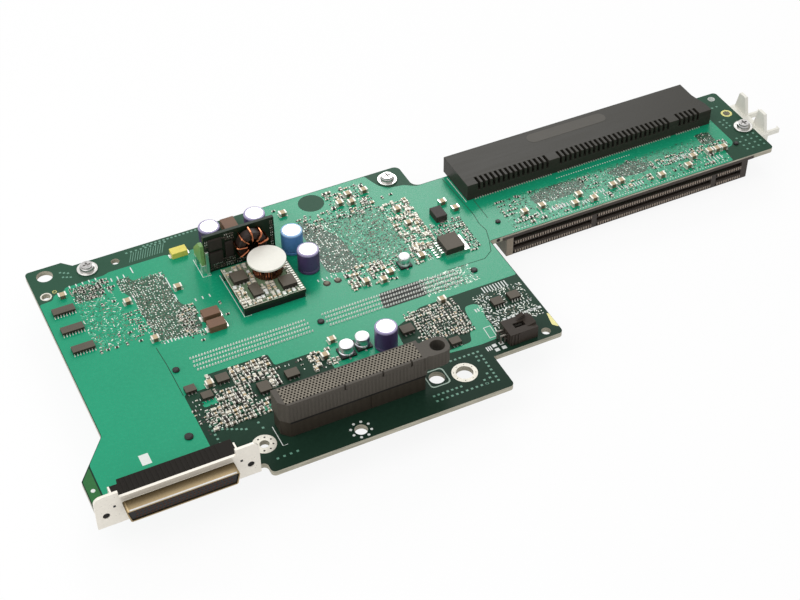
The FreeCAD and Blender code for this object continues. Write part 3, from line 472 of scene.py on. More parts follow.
M = {
    "laminate": board_laminate((46, 77, 61), (186, 181, 164)),
    "module_mask": board_laminate((104, 126, 98), (46, 62, 48)),
    "mask": solder_mask((22, 152, 112)),
    "olive_mask": solder_mask((40, 104, 52)),
    "upright_mask": solder_mask((24, 40, 26), rough=0.4),
    "dark_mask": solder_mask((42, 48, 44), rough=0.5),
    "dim_mask": solder_mask((44, 92, 68)),
    "trace": solder_mask((120, 190, 160)),
    "pale_mask": solder_mask((104, 150, 130)),
    "tin": metal((226, 224, 218), rough=0.3),
    "nickel": metal((246, 240, 228), rough=0.3, vary=0.05, brushed=(1, 12, 1)),
    "steel": metal((216, 214, 210), rough=0.2),
    "gold": metal((214, 176, 92)),
    "enamel": metal((176, 108, 76), rough=0.16),
    "brass": metal((176, 172, 112), rough=0.4),
    "lid": metal((190, 190, 192), rough=0.35),
    "screw": metal((178, 176, 174)),
    "washer": metal((216, 214, 210), rough=0.22, brushed=(3, 1, 1)),
    "can_top": metal((236, 234, 238), rough=0.34),
    "bronze_shell": shell_metal((246, 240, 228), (166, 146, 112)),
    "slot_black": drawn_plastic((53, 51, 45)),
    "ridged_black": ribbed((34, 31, 27), 2.0, depth=0.25, shine=0.08),
    "grey": ribbed((82, 77, 70), 1.52, depth=0.08, shine=0.2),
    "dark_grey": ribbed((58, 52, 44), 3.04, depth=0.12, shine=0.2),
    "grey_top": grained((126, 119, 106), rough=0.55, side_shade=0.25),
    "black": grained((30, 28, 27), rough=0.42),
    "shadow": grained((22, 20, 18), rough=0.7),
    "brown": grained((58, 50, 44)),
    "rib_brown": grained((164, 150, 136)),
    # Paler colour for the lower slot's left end: painted light.
    "slot_end_lit": grained((150, 138, 122)),
    "slot_mark": grained((64, 60, 52)),
    "header": grained((56, 49, 43), Specular_IOR_Level=0.15),
    "white": grained((238, 236, 226), rough=0.45, vary=0.04),
    "silk": grained((226, 230, 226), rough=0.6, vary=0.05),
    "outline_ink": grained((176, 198, 184), rough=0.6, vary=0.05),
    "bracket": grained((120, 160, 96), rough=0.4),
    "resin": grained((50, 44, 40), rough=0.55),
    "package": grained((86, 79, 68), rough=0.55, side_shade=0.3),
    "brown_resin": grained((116, 86, 66)),
    "yellow": grained((228, 214, 100), rough=0.45),
    "pale_edge": grained((240, 232, 160)),
    "ferrite": grained((40, 29, 24)),
    "purple": grained((78, 64, 104), rough=0.3, vary=0.1),
    "blue": grained((94, 146, 206), rough=0.3, vary=0.1),
    # Paler sleeve colours for the curled rims: painted highlight.
    "purple_rim_highlight": grained((158, 148, 184), rough=0.25, vary=0.08),
    "blue_rim_highlight": grained((146, 186, 226), rough=0.25, vary=0.08),
    "cream": grained((214, 208, 190), side_shade=0.5),
    "taupe": grained((128, 120, 106), side_shade=0.4),
    "beige": grained((190, 170, 136), side_shade=0.28),
    "dark_wire": grained((72, 44, 32), rough=0.35, Metallic=0.6),
    "dull_pin": grained((110, 106, 98), rough=0.4, Metallic=0.5),
    "via": grained((212, 216, 206), rough=0.4, vary=0.15, Metallic=0.4),
    "solder": grained((214, 212, 202), rough=0.4, vary=0.2, Metallic=0.5),
    "ring": grained((212, 208, 196), rough=0.45, vary=0.2, Metallic=0.4),
    "pin": grained((232, 234, 228), rough=0.35, vary=0.08, Metallic=0.3),
}
for finish_name, made in M.items():
    made.name = finish_name

# Slot of the record that each finish of a piece belongs to
SLOT_FINISHES = {
    "solder_mask": ("mask", "olive_mask", "laminate", "trace", "pale_mask", "dim_mask", "dark_mask"),
    "tin": ("tin", "pin", "ring", "solder", "via"),
    "gold": ("gold", "brass"),
    "copper": ("enamel", "dark_wire"),
    "steel": ("screw", "washer"),
    "nickel": ("steel",),
    "can_metal": ("can_top", "lid"),
    "purple_sleeve": ("purple", "blue", "purple_rim_highlight", "blue_rim_highlight"),
    "grey_plastic": ("grey", "grey_top", "dark_grey"),
    "black_plastic": ("black", "shadow", "slot_mark", "ridged_black"),
    "brown_plastic": ("brown", "rib_brown", "slot_end_lit", "header"),
    "white_plastic": ("silk", "outline_ink"),
    "beige_ceramic": ("beige", "cream", "taupe"),
    "chip_resin": ("resin",),
    "yellow_resin": ("pale_edge",),
    "pale_bracket": ("bracket",),
    "ferrite": ("ferrite",),
}
SLOT_OF = {finish: slot for slot, finishes in SLOT_FINISHES.items() for finish in finishes}

# Finish and edge rounding of the solids that stay in view
NODE_FINISH = {
    "circuit_board": ("laminate", 0.0),
    "spacers": ("nickel", 0.15),
    "upper_slot_housing": ("slot_black", 0.12),
    "lower_slot_housing": ("brown", 0.1),
    "connector_shell": ("bronze_shell", 0.12),
    "connector_body": ("ridged_black", 0.15),
    "connector_insert": ("black", 0.1),
    "header_shroud": ("header", 0.12),
    "header_pins": ("dull_pin", 0.05),
    "upright_module_board": ("upright_mask", 0.06),
    "upright_module_chips": ("resin", 0.1),
    "flat_module_board": ("module_mask", 0.06),
    "flat_module_strips": ("black", 0.1),
    "flat_module_chips": ("package", 0.1),
    "coil_disc": ("white", 0.2),
    "small_can_bases": ("black", 0.15),
    "yellow_tantalum": ("yellow", 0.2),
    "brown_tantalums": ("brown_resin", 0.2),
    "choke_block": ("brown_resin", 0.25),
    "diode_block": ("resin", 0.25),
    "small_regulators": ("package", 0.15),
    "ceramic_capacitors": ("beige", 0.12),
    "outline_packages": ("package", 0.12),
    "power_package": ("package", 0.15),
    "power_package_tab": ("tin", 0.1),
    "power_package_leads": ("tin", 0.06),
    "edge_clip": ("white", 0.15),
    "memory_socket": ("black", 0.12),
    "memory_latch_left": ("white", 0.12),
    "memory_latch_right": ("white", 0.12),
    "ball_chip_substrates": ("module_mask", 0.05),
    "ball_chip_lids": ("lid", 0.15),
}
WELD_REACH = 0.002
BEVEL_ANGLE = 40
SHARP_ANGLE = 35


def soften(obj, width):
    """Join split faces and round the edges."""
    weld = obj.modifiers.new("weld", "WELD")
    weld.merge_threshold = WELD_REACH * MM
    bevel = obj.modifiers.new("bevel", "BEVEL")
    bevel.width = width * MM
    bevel.segments = 2
    bevel.limit_method = "ANGLE"
    bevel.angle_limit = math.radians(BEVEL_ANGLE)
    bevel.use_clamp_overlap = True


def dress(node, finish, bevel):
    """Give a solid of the frame its finish."""
    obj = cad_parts[node]
    obj.data.materials.clear()
    obj.data.materials.append(M[finish])
    if bevel:
        soften(obj, bevel)


def link(name, data):
    obj = bpy.data.objects.new(name, data)
    bpy.context.scene.collection.objects.link(obj)
    return obj


def piece(name, shape, finish, node=None, smooth=False, bevel=0.0, slot=None):
    """A mesh on the card, in place of a solid of the frame if one is named."""
    slot = slot or SLOT_OF[finish]
    mesh = bpy.data.meshes.new(name)
    mesh.from_pydata([place(p) for p in shape.points], [], shape.faces)
    work = bmesh.new()
    work.from_mesh(mesh)
    bmesh.ops.recalc_face_normals(work, faces=work.faces)
    work.to_mesh(mesh)
    work.free()
    mesh.materials.append(M[finish])
    if smooth:
        mesh.shade_smooth()
        mesh.set_sharp_from_angle(angle=math.radians(SHARP_ANGLE))
    obj = link(name, mesh)
    if bevel:
        soften(obj, bevel)
    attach(obj, "card")
    if node:
        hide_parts(node)


# Copper areas under the bright lacquer

HOLES = (
    (7.5, -5.5, 3.6), (143.5, -137.9, 3.6), (4.3, -18.5, 1.9), (38.1, -9.7, 1.9), (55.8, -138.0, 2.0),
    (92.7, -147.7, 2.7), (185.1, -131.4, 2.0), (338.6, -25.0, 1.75), (338.6, -38.0, 1.75),
    (132.1, -135.5, 3.35),
)
SCREWS = ((25.6, -9.5), (169.2, -11.4), (339.4, -50.8))
MASK_GAPS = ((130.9, -11.2, 6.0),)
MAIN_POUR = (
    (0.3, -22.3), (6.2, -22.0), (7.4, -19.3), (12.3, -18.2), (13.4, -16.5), (31.0, -16.2), (33.0, -15.2),
    (59.0, -15.3), (62.0, -17.0), (104.0, -17.6), (106.5, -4.3), (160.8, -4.3), (162.2, -9.0), (163.8, -13.4),
    (167.5, -16.9), (174.5, -18.0), (177.3, -20.0), (179.5, -21.3), (328.6, -21.3), (328.6, -58.0),
    (326.5, -60.4), (321.4, -61.2), (320.6, -70.2), (191.2, -70.2), (191.2, -94.9), (158.0, -94.9),
    (144.0, -95.2), (138.5, -98.5), (129.5, -102.0), (128.0, -116.0), (97.5, -116.0), (97.0, -104.0),
    (94.0, -99.8), (76.0, -99.8), (75.8, -92.6), (48.4, -92.6), (48.0, -99.6), (36.8, -99.6), (36.4, -138.0),
    (36.4, -146.6), (-8.6, -146.6), (-8.7, -118.4), (0.3, -106.2),
)
ISLAND_POUR = (
    (161.4, -103.2), (166.6, -103.4), (168.4, -107.4), (166.4, -112.0), (166.6, -119.0), (165.2, -126.2),
    (157.0, -126.6), (143.0, -125.2), (143.4, -123.9), (154.6, -123.4), (155.8, -119.0), (159.8, -113.6),
    (160.2, -107.6),
)
PATCH_POURS = (
    ((41.6, -106.2), (48.4, -105.6), (48.6, -109.2), (41.8, -109.6)),
    ((61.4, -118.2), (66.6, -118.8), (66.2, -121.6), (61.8, -121.8)),
)
LEFT_TAB_POUR = ((-9.3, -119.6), (-9.3, -146.6), (-13.6, -146.6), (-13.6, -125.4))
TAB_CORNER = 0.6
GUIDE_LINE = (127.5, 136.5, -140.3, -130.9)
GUIDE_LINE_WIDTH = 0.5
GUIDE_LINE_CORNERS = (2.0, 1.8)
PLANE_SPLITS = (
    ((36.0, -68.7), (36.6, -80.0), (36.6, -99.6)),
    ((192.3, -22.0), (193.0, -39.4), (193.4, -51.1), (192.6, -57.8), (193.4, -63.0), (191.2, -70.2),
     (188.6, -76.5), (183.8, -79.8), (165.6, -79.4)),
    ((198.2, -41.6), (198.0, -56.0)),
)
SPLIT_WIDTH = 0.32
POUR_CORNER = 1.2
ISLAND_CORNER = 2.0


def copper_pours():
    outline = rounded(MAIN_POUR, POUR_CORNER)
    main = [outline] + [circle(*hole) for hole in HOLES + MASK_GAPS if inside(*hole[:2], outline)]
    pours = Shape()
    patches = [[rounded(patch, POUR_CORNER)] for patch in PATCH_POURS]
    for loops in [main, [rounded(ISLAND_POUR, ISLAND_CORNER)]] + patches:
        pours.plate(loops, 0.0, POUR)
    pours.plate(main, UNDERSIDE - POUR, UNDERSIDE)
    piece("copper_pours", pours, "mask")
    x0, x1, y0, y1 = GUIDE_LINE
    w = GUIDE_LINE_WIDTH
    frames = (rectangle(x0, x1, y0, y1), rectangle(x0 + w, x1 - w, y0 + w, y1 - w))
    loops = [rounded(corners, radius) for corners, radius in zip(frames, GUIDE_LINE_CORNERS)]
    piece("guide_outline", Shape().plate(loops, 0.0, POUR), "outline_ink")
    piece("left_tab_pour", Shape().plate([rounded(LEFT_TAB_POUR, TAB_CORNER)], 0.0, POUR), "olive_mask")
    splits = Shape()
    for path in PLANE_SPLITS:
        splits.strip(path, SPLIT_WIDTH, SUNK, POUR * 1.6)
    piece("plane_splits", splits, "laminate")


# Small parts soldered to the top face, gathered by tone

LAYERS = {}
LAYER_FINISH = {
    "tin": "solder", "resin": "resin", "beige": "beige", "shadow": "resin", "via": "via", "trace": "trace",
    "silk": "silk", "pale_mask": "pale_mask", "cream": "cream", "taupe": "taupe", "dim": "dim_mask",
    "dark": "dark_mask",
}
CHIP_SIZES = {
    "tiny": (1.0, 0.5, 0.35), "small": (1.6, 0.85, 0.5), "middle": (2.1, 1.3, 0.85), "large": (3.4, 2.6, 1.9),
}
# Shares of a chip's length in its ends and feet, and how far these exceed its sides and top
CHIP_END = 0.21
CHIP_FOOT = 0.07
END_WIDER, END_TALLER, FOOT_WIDER = 1.04, 1.03, 1.2
CHIP_EDGE = 0.04
OCCUPIED = []
PART_ROOM = 0.9
VIA_ROOM = 0.5
FLECK_ROOM = 0.6
FLECK_REACH = 1.3
TONE_TOP = {
    "dim": 0.6 * PAD, "pale_mask": 0.7 * PAD, "trace": 0.75 * PAD, "shadow": 0.85 * PAD, "taupe": 0.95 * PAD,
    "via": PAD, "silk": PAD,
}


def layer(name):
    return LAYERS.setdefault(name, Shape())


def small_part(x, y, size, body, turn=0.0, z=0.0):
    """Chip resistor or capacitor: a body between two tinned ends on their pads."""
    length, width, height = CHIP_SIZES[size]
    half, side = length / 2, width / 2
    inner, foot = half - CHIP_END * length, half + CHIP_FOOT * length
    at = (x, y, z + POUR, turn)
    layer(body).stamp(Shape().block(-inner, inner, -side, side, 0.02, height, CHIP_EDGE), *at)
    end_side, foot_side = side * END_WIDER, side * FOOT_WIDER
    for sign in SIDES:
        near, far, toe = sign * inner, sign * half, sign * foot
        end = Shape().block(near, far, -end_side, end_side, 0.0, height * END_TALLER, CHIP_EDGE)
        layer("tin").stamp(end, *at)
        pad = Shape().block(near, toe, -foot_side, foot_side, -0.01, 0.05)
        layer("tin").stamp(pad, *at)


def via(x, y, radius, name="via"):
    layer(name).disc(x, y, radius, SUNK, PAD, 6)


def bar(x, y, along_x, along_y, name="silk"):
    layer(name).centred(x, y, along_x, along_y, SUNK, PAD)


def clear(x, y, areas, room):
    """Whether a place keeps its room from every area."""
    return all(not (a - room < x < b + room and c - room < y < d + room) for a, b, c, d in areas)


def cells(rng, x0, x1, y0, y1, pitch_x, pitch_y, jitter):
    """Grid of places over a rectangle, shaken a little."""
    for y in spaced(y0, y1, pitch_y):
        for x in spaced(x0, x1, pitch_x):
            yield x + rng.uniform(-jitter, jitter), y + rng.uniform(-jitter, jitter)


def fleck(rng, tone, x, y, reach):
    """Short track, pad or painted shadow, square or slanting to the rows."""
    length, width = rng.uniform(0.4, 1.1) * reach, rng.uniform(0.16, 0.45)
    turn = rng.choice((0.0, 0.25, 0.5, 0.75)) * math.pi
    mark = Shape().block(-length / 2, length / 2, -width / 2, width / 2, SUNK, TONE_TOP[tone])
    layer(tone).stamp(mark, x, y, 0, turn)


def thicket(seed, area, pitch, fill, tones):
    """Bare routing: a scatter of short tracks, pads and painted shadows."""
    rng = random.Random(seed)
    for x, y in cells(rng, *area, pitch, pitch, pitch * 0.4):
        tone, chance = rng.choice(tones), rng.random()
        if chance < fill and clear(x, y, OCCUPIED, FLECK_ROOM):
            fleck(rng, tone, x, y, FLECK_REACH)


def via_mesh(seed, area, pitch, fill, dark, radius=0.33):
    """Escape vias below a ball-grid chip, with painted shadows and tracks between them."""
    rng = random.Random(seed)
    for x, y in cells(rng, *area, pitch, pitch, pitch * 0.13):
        if not clear(x, y, OCCUPIED, VIA_ROOM):
            continue
        if rng.random() < fill:
            via(x, y, radius * rng.uniform(0.7, 1.15), rng.choice(("via", "via", "taupe")))
        for tone, share in (("trace", 0.3), ("shadow", dark), ("taupe", 0.35)):
            if rng.random() < share:
                mark_x, mark_y = x + rng.uniform(0.2, 0.8) * pitch, y + rng.uniform(0.2, 0.8) * pitch
                fleck(rng, tone, mark_x, mark_y, 0.8 * pitch)


def part_field(seed, area, pitch, fill, sizes, bodies, marks=0.2):
    """Chips in rows and columns, with pads, ink ticks and painted shadows between."""
    rng = random.Random(seed)
    for x, y in cells(rng, *area, *pitch, 0.22):
        turn = rng.choice((0.0, 0.0, QUARTER))
        size, body = rng.choice(sizes), rng.choice(bodies)
        chance, tick = rng.random(), rng.random()
        if not clear(x, y, OCCUPIED, PART_ROOM):
            continue
        if chance < fill:
            small_part(x, y, size, body, turn)
        elif chance < fill + 0.15:
            via(x, y, 0.32)
        if tick < marks:
            bar(x + pitch[0] / 2, y, 0.24, rng.uniform(0.7, 1.4))
        elif tick > 0.5:
            # Painted shadow: a dark square beside the chip.
            bar(x + pitch[0] / 2, y, 0.7, 0.9, "shadow")


# Places of the larger parts, which the fields keep clear of

CANS = ((79.6, -18.1), (100.8, -18.6), (111.0, -36.6), (112.4, -51.4), (121.8, -109.6))
BLUE_CAN = 2
SMALL_CANS = ((105.3, -106.3, 3.2), (113.1, -104.9, 3.2), (150.4, -67.9, 2.6))
REGULATORS = (
    (40.1, -98.1, 4.6, 3.8), (45.0, -104.3, 4.6, 3.8), (53.9, -98.0, 5.2, 4.4), (67.2, -110.2, 5.0, 5.6),
    (80.3, -108.0, 5.6, 4.4), (133.4, -105.5, 5.6, 4.6), (148.0, -120.7, 4.6, 3.8),
)
OUTLINE_PACKAGES = (
    (8.3, -31.0, 9.6, 3.9), (8.3, -43.4, 9.6, 3.9), (8.9, -56.2, 9.6, 3.9),
    (174.9, -107.4, 5.0, 4.4), (183.0, -107.0, 5.0, 4.4),
)
TANTALUMS = ((63.1, -61.2), (63.0, -68.4))
CERAMICS = ((10.6, -21.8), (142.6, -70.2), (159.4, -66.8), (184.2, -37.8), (187.6, -44.2))
MORE_CERAMICS = (
    (34.4, -37.6), (56.8, -38.4), (37.4, -64.2), (155.8, -14.2), (148.2, -13.6), (147.4, -19.4),
    (142.2, -17.8), (130.6, -71.2), (138.0, -73.4), (96.4, -104.6), (102.6, -97.4), (48.2, -98.6),
    (163.6, -33.4), (164.0, -44.2), (154.6, -95.8), (116.1, -13.1), (214.4, -60.4), (223.4, -60.2),
    (242.4, -60.6), (260.0, -61.6), (264.8, -60.8), (237.8, -65.4), (247.4, -66.0), (284.0, -65.4),
    (299.0, -64.8), (304.6, -60.0), (313.8, -60.0), (317.8, -60.2), (321.4, -60.4),
)
CROWDED_NODES = (
    "flat_module_board", "choke_block", "diode_block", "power_package", "power_package_leads",
    "power_package_tab", "header_shroud", "header_pins", "grid_connector_cap", "connector_body",
    "upright_module_board", "upright_module_bracket", "yellow_tantalum", "upper_slot_housing",
)
CAN_AREA, SCREW_AREA, CERAMIC_AREA, TANTALUM_AREA = (10.4, 10.4), (10.0, 10.0), (3.6, 2.8), (9.0, 5.4)
SMALL_CAN_REACH = 2.2
BODY_ROOM, LEAD_ROOM, HOLE_ROOM = 0.6, 3.0, 1.5


def footprints():
    """Areas that the fields keep clear of, as (x, y, along x, along y)."""
    areas = [(x, y, *CAN_AREA) for x, y in CANS]
    areas += [(x, y, r * SMALL_CAN_REACH, r * SMALL_CAN_REACH) for x, y, r in SMALL_CANS]
    areas += [(x, y, a + BODY_ROOM, b + LEAD_ROOM) for x, y, a, b in REGULATORS + OUTLINE_PACKAGES]
    areas += [(x, y, *CERAMIC_AREA) for x, y in CERAMICS + MORE_CERAMICS]
    areas += [(x, y, *TANTALUM_AREA) for x, y in TANTALUMS]
    areas += [(x, y, r * 2 + HOLE_ROOM, r * 2 + HOLE_ROOM) for x, y, r in HOLES]
    areas += [(x, y, *SCREW_AREA) for x, y in SCREWS]
    for x, y, along_x, along_y in areas:
        OCCUPIED.append((x - along_x / 2, x + along_x / 2, y - along_y / 2, y + along_y / 2))
    for node in CROWDED_NODES:
        low, high = span(node)
        OCCUPIED.append((low.x, high.x, low.y, high.y))


DIM_AREAS = (
    ((34.0, -21.5), (40.0, -22.0), (41.0, -26.0), (52.0, -25.5), (54.0, -29.0), (54.0, -47.0), (58.5, -53.0),
     (58.0, -66.0), (51.0, -68.0), (38.5, -65.5), (37.6, -50.0), (37.5, -36.0), (34.5, -30.0)),
    ((118.4, -23.0), (124.0, -22.0), (129.0, -31.0), (133.0, -40.0), (133.5, -59.0), (126.0, -61.0),
     (118.5, -58.0)),
    ((15.0, -19.5), (27.0, -20.0), (27.5, -28.0), (15.5, -29.0)),
    ((222.0, -51.0), (236.8, -48.6), (251.0, -51.0), (247.2, -56.9), (234.0, -58.6), (222.0, -57.6)),
    ((261.9, -52.0), (276.9, -48.6), (285.3, -54.4), (279.1, -59.4), (268.1, -58.0)),
    ((315.0, -45.4), (322.6, -46.7), (320.6, -55.0), (313.9, -53.6)),
)
BARE_AREA = ((132.2, -79.8), (154.0, -79.8), (151.0, -89.6), (130.6, -89.6))
TINT_TOP = POUR * 1.3
HATCH_X = 43.6
HATCH_Y = (-13.2, -7.6)
HATCH_PITCH = 1.15
HATCH_LINES = 14
HATCH_LEAN = 2.6
FINE = ("small", "tiny")
COARSE = ("small", "middle", "middle")
GREY_PARTS = ("taupe", "cream", "taupe", "resin", "beige", "dim")
PALE_PARTS = ("taupe", "cream", "cream", "beige")
DARK_PARTS = ("resin", "taupe", "shadow")
MIXED_PARTS = ("beige", "taupe", "resin")


def board_fields():
    for outline in DIM_AREAS:
        layer("dim").plate([rounded(outline, 2.0)], SUNK, TINT_TOP)
    layer("dark").plate([rounded(BARE_AREA, 1.5)], SUNK, TINT_TOP)
    part_field(11, (14.6, 32.0, -28.2, -18.6), (1.75, 1.35), 0.72, ("tiny", "tiny", "small"), DARK_PARTS)
    via_mesh(12, (34.4, 40.0, -30.4, -21.6), 1.0, 0.7, 0.9)
    via_mesh(13, (40.4, 53.6, -31.0, -25.4), 1.1, 0.6, 0.9)
    via_mesh(14, (37.6, 54.2, -49.6, -31.6), 1.05, 0.65, 0.9)
    via_mesh(15, (38.2, 57.0, -67.2, -50.6), 1.05, 0.65, 1.0)
    part_field(16, (31.6, 38.0, -59.0, -43.0), (2.0, 1.5), 0.6, ("tiny",), ("cream", "taupe", "resin"), 0.3)
    part_field(17, (51.0, 58.8, -70.0, -49.4), (1.8, 1.5), 0.6, ("tiny", "small"), GREY_PARTS, 0.3)
    thicket(18, (14.2, 30.4, -60.0, -28.6), 0.95, 0.75, ("trace", "trace", "dim", "dim", "taupe", "via"))
    part_field(21, (138.4, 157.0, -27.4, -7.4), (2.2, 1.9), 0.66, ("small", "middle", "tiny"), MIXED_PARTS)
    part_field(22, (118.8, 137.0, -30.0, -18.6), (2.3, 2.0), 0.5, FINE, GREY_PARTS)
    via_mesh(23, (119.2, 133.2, -60.0, -24.4), 1.0, 0.45, 1.0)
    thicket(24, (133.4, 158.0, -60.4, -26.6), 0.8, 0.9, ("trace", "dim", "dim", "dim", "taupe", "shadow"))
    via_mesh(25, (134.0, 158.0, -60.4, -27.0), 2.2, 0.5, 0.5, 0.3)
    thicket(50, (151.0, 175.0, -90.4, -79.6), 0.8, 0.85, ("trace", "via", "via", "taupe", "pale_mask"))
    part_field(26, (158.0, 171.6, -62.4, -27.4), (1.95, 1.5), 0.78, ("small", "tiny", "middle"), PALE_PARTS)
    part_field(27, (124.6, 142.0, -73.6, -60.6), (2.1, 1.8), 0.7, ("small", "middle"), MIXED_PARTS, 0.35)
    part_field(28, (141.6, 168.4, -69.8, -60.4), (2.1, 1.6), 0.6, FINE, GREY_PARTS, 0.3)
    part_field(29, (172.4, 186.0, -57.4, -49.2), (1.9, 1.5), 0.7, FINE, DARK_PARTS)
    part_field(30, (181.6, 187.0, -72.4, -57.8), (1.9, 1.5), 0.72, FINE, DARK_PARTS)
    part_field(31, (48.8, 75.6, -110.4, -92.8), (2.5, 2.0), 0.93, COARSE, GREY_PARTS)
    part_field(32, (42.0, 70.6, -122.6, -110.8), (2.5, 2.0), 0.93, COARSE, GREY_PARTS)
    part_field(33, (37.4, 47.6, -124.0, -100.4), (3.0, 2.4), 0.35, ("tiny", "small"), GREY_PARTS)
    part_field(34, (136.4, 159.6, -117.2, -95.6), (2.0, 1.7), 0.9, ("small", "tiny", "small"), GREY_PARTS)
    bodies = ("beige", "cream", "taupe")
    part_field(35, (90.4, 102.4, -110.0, -99.6), (2.1, 1.8), 0.7, ("small", "middle"), bodies)
    part_field(36, (76.6, 90.0, -109.8, -100.4), (3.2, 2.6), 0.3, FINE, DARK_PARTS)
    via_mesh(41, (222.0, 249.0, -58.4, -48.8), 1.1, 0.3, 1.0, 0.26)
    part_field(42, (206.0, 219.4, -58.6, -47.6), (2.8, 2.4), 0.4, FINE, DARK_PARTS)
    part_field(43, (249.0, 261.0, -58.6, -48.6), (2.6, 2.1), 0.4, FINE, DARK_PARTS)
    via_mesh(46, (262.0, 284.0, -58.8, -49.2), 1.1, 0.3, 1.0, 0.26)
    via_mesh(47, (314.6, 321.6, -54.4, -45.6), 1.1, 0.6, 0.9, 0.28)
    part_field(44, (284.6, 326.0, -59.0, -54.0), (1.9, 1.5), 0.5, FINE, MIXED_PARTS, 0.4)
    sizes = ("small", "tiny", "middle")
    part_field(45, (206.4, 320.0, -67.4, -60.6), (2.9, 2.4), 0.3, sizes, MIXED_PARTS, 0.5)
    thicket(48, (205.0, 312.0, -67.6, -47.4), 1.2, 0.7, ("trace", "dim", "dim", "shadow"))
    thicket(51, (167.0, 189.6, -121.0, -99.4), 1.1, 0.8, ("taupe", "via", "via", "silk"))
    front, back = HATCH_Y
    for k in range(HATCH_LINES):
        x = HATCH_X + k * HATCH_PITCH
        layer("pale_mask").strip(((x, front), (x + HATCH_LEAN, back)), 0.28, SUNK, PAD)


SINGLE_PARTS = (
    (15.0, -61.4), (17.9, -61.2), (21.6, -61.4), (26.2, -61.4), (31.8, -62.1), (38.4, -61.4), (24.7, -55.0),
    (29.3, -55.4), (34.6, -53.6), (24.2, -34.2), (29.4, -34.2), (32.0, -25.0), (69.6, -55.0), (70.0, -63.0),
    (55.2, -73.2), (115.0, -63.0), (120.2, -63.2), (166.0, -21.6), (161.6, -22.0), (143.4, -74.4),
    (208.4, -48.8), (211.0, -53.4), (216.2, -48.4), (223.6, -48.4), (275.4, -49.2), (292.0, -64.4),
    (277.8, -64.6), (318.4, -47.0), (316.0, -51.4), (113.3, -9.0), (124.5, -19.2),
)
# Rows of ink ticks, as (start, end, y, pitch, length)
ROW_TICKS = (
    (15.2, 27.2, -17.0, 2.9, 1.7), (40.2, 50.4, -67.4, 1.55, 1.7), (208.0, 216.0, -63.6, 1.9, 2.6),
    (220.0, 222.4, -63.4, 1.6, 2.4), (228.0, 233.6, -63.0, 1.7, 3.0), (250.0, 255.6, -62.0, 1.6, 2.4),
    (262.0, 266.0, -64.2, 1.5, 2.4), (288.0, 309.6, -56.8, 1.65, 2.2), (310.4, 318.6, -65.0, 1.7, 3.0),
    (112.6, 122.0, -60.8, 2.1, 1.5), (173.4, 185.4, -97.8, 1.35, 3.6), (172.6, 189.0, -111.8, 1.45, 1.2),
    (158.0, 160.4, -130.2, 0.9, 2.4), (61.0, 68.0, -48.6, 3.2, 1.8), (226.0, 235.0, -63.6, 1.5, 2.6),
    (242.0, 245.0, -65.6, 1.4, 2.4), (253.6, 256.4, -65.0, 1.4, 2.4), (265.4, 274.0, -65.0, 1.4, 2.6),
    (296.0, 303.0, -57.2, 1.2, 3.0), (32.8, 39.0, -20.6, 2.8, 2.2), (42.7, 43.0, -18.4, 1.0, 4.0),
    (53.0, 53.4, -26.6, 1.0, 2.6), (54.2, 54.6, -33.0, 1.0, 7.0), (54.0, 54.4, -43.2, 1.0, 3.6),
    (37.8, 38.4, -36.0, 0.9, 4.6), (240.0, 279.6, -45.0, 1.3, 0.5), (204.0, 318.0, -68.9, 1.5, 0.5),
)
TICK_WIDTH = 0.5
PAD_COLUMN = (
    (171.1, -106.7), (169.6, -109.1), (169.2, -111.2), (167.7, -113.1), (167.7, -115.0), (167.8, -116.9),
    (168.5, -118.4), (170.5, -117.1), (171.3, -115.2), (169.0, -121.0), (166.6, -122.2),
)
PAD_ROW = (173.0, 190.4, 2.1)
PAD_ROW_Y = -117.5
PAD_ROW_SIZE, PAD_COLUMN_SIZE = (1.4, 1.3), (0.75, 0.8)
TEST_POINTS = ((115.3, -63.8), (120.4, -64.0))
TEST_PROFILE = ((1.4, POUR), (1.2, 0.4), (0.7, 0.6), (0.3, 0.65))
TEST_SHADOW_R, TEST_SHADOW_AHEAD = 1.7, 0.3
BARE_EDGE = ((190.6, -122.0), (191.4, -122.6), (191.4, -131.4), (189.2, -129.2))


def single_marks():
    for k, (x, y) in enumerate(SINGLE_PARTS):
        small_part(x, y, "small", "resin", 0.0 if k % 3 else QUARTER)
    for start, end, y, pitch, length in ROW_TICKS:
        for x in spaced(start, end, pitch):
            bar(x, y, TICK_WIDTH, length)
    for x, y in MORE_CERAMICS:
        small_part(x, y, "large", "beige")
    for x in spaced(*PAD_ROW):
        bar(x, PAD_ROW_Y, *PAD_ROW_SIZE)
    for x, y in PAD_COLUMN:
        bar(x, y, *PAD_COLUMN_SIZE)
    for x, y in TEST_POINTS:
        layer("shadow").disc(x, y - TEST_SHADOW_AHEAD, TEST_SHADOW_R, SUNK, PAD, 16)
        layer("taupe").turned(x, y, TEST_PROFILE, 16)
    piece("bare_edge", Shape().plate([rounded(BARE_EDGE, 0.8)], 0.0, PAD), "pale_edge")


# Rows of solder pins of the memory socket below

PIN_ROWS = (-81.0, -83.4, -85.9, -88.4)
PIN_SPANS = ((46.5, 99.8), (105.6, 169.6))
PIN_PROFILE = ((0.52, 0.0), (0.46, 0.2), (0.3, 0.5), (0.22, 0.8), (0.1, 0.9))
# From here on each pin has a painted shadow beside it, as (x, y, radius) from the pin
PIN_SHADOW_X = 131.0
PIN_SHADOW = (0.15, -0.5, 0.42)
PEGS = (
    (38.9, -84.8, 1.5), (103.3, -84.8, 1.5), (175.9, -84.7, 1.5), (200.7, -60.6, 1.2), (328.9, -60.2, 1.2),
    (30.8, -121.5, 1.8),
)


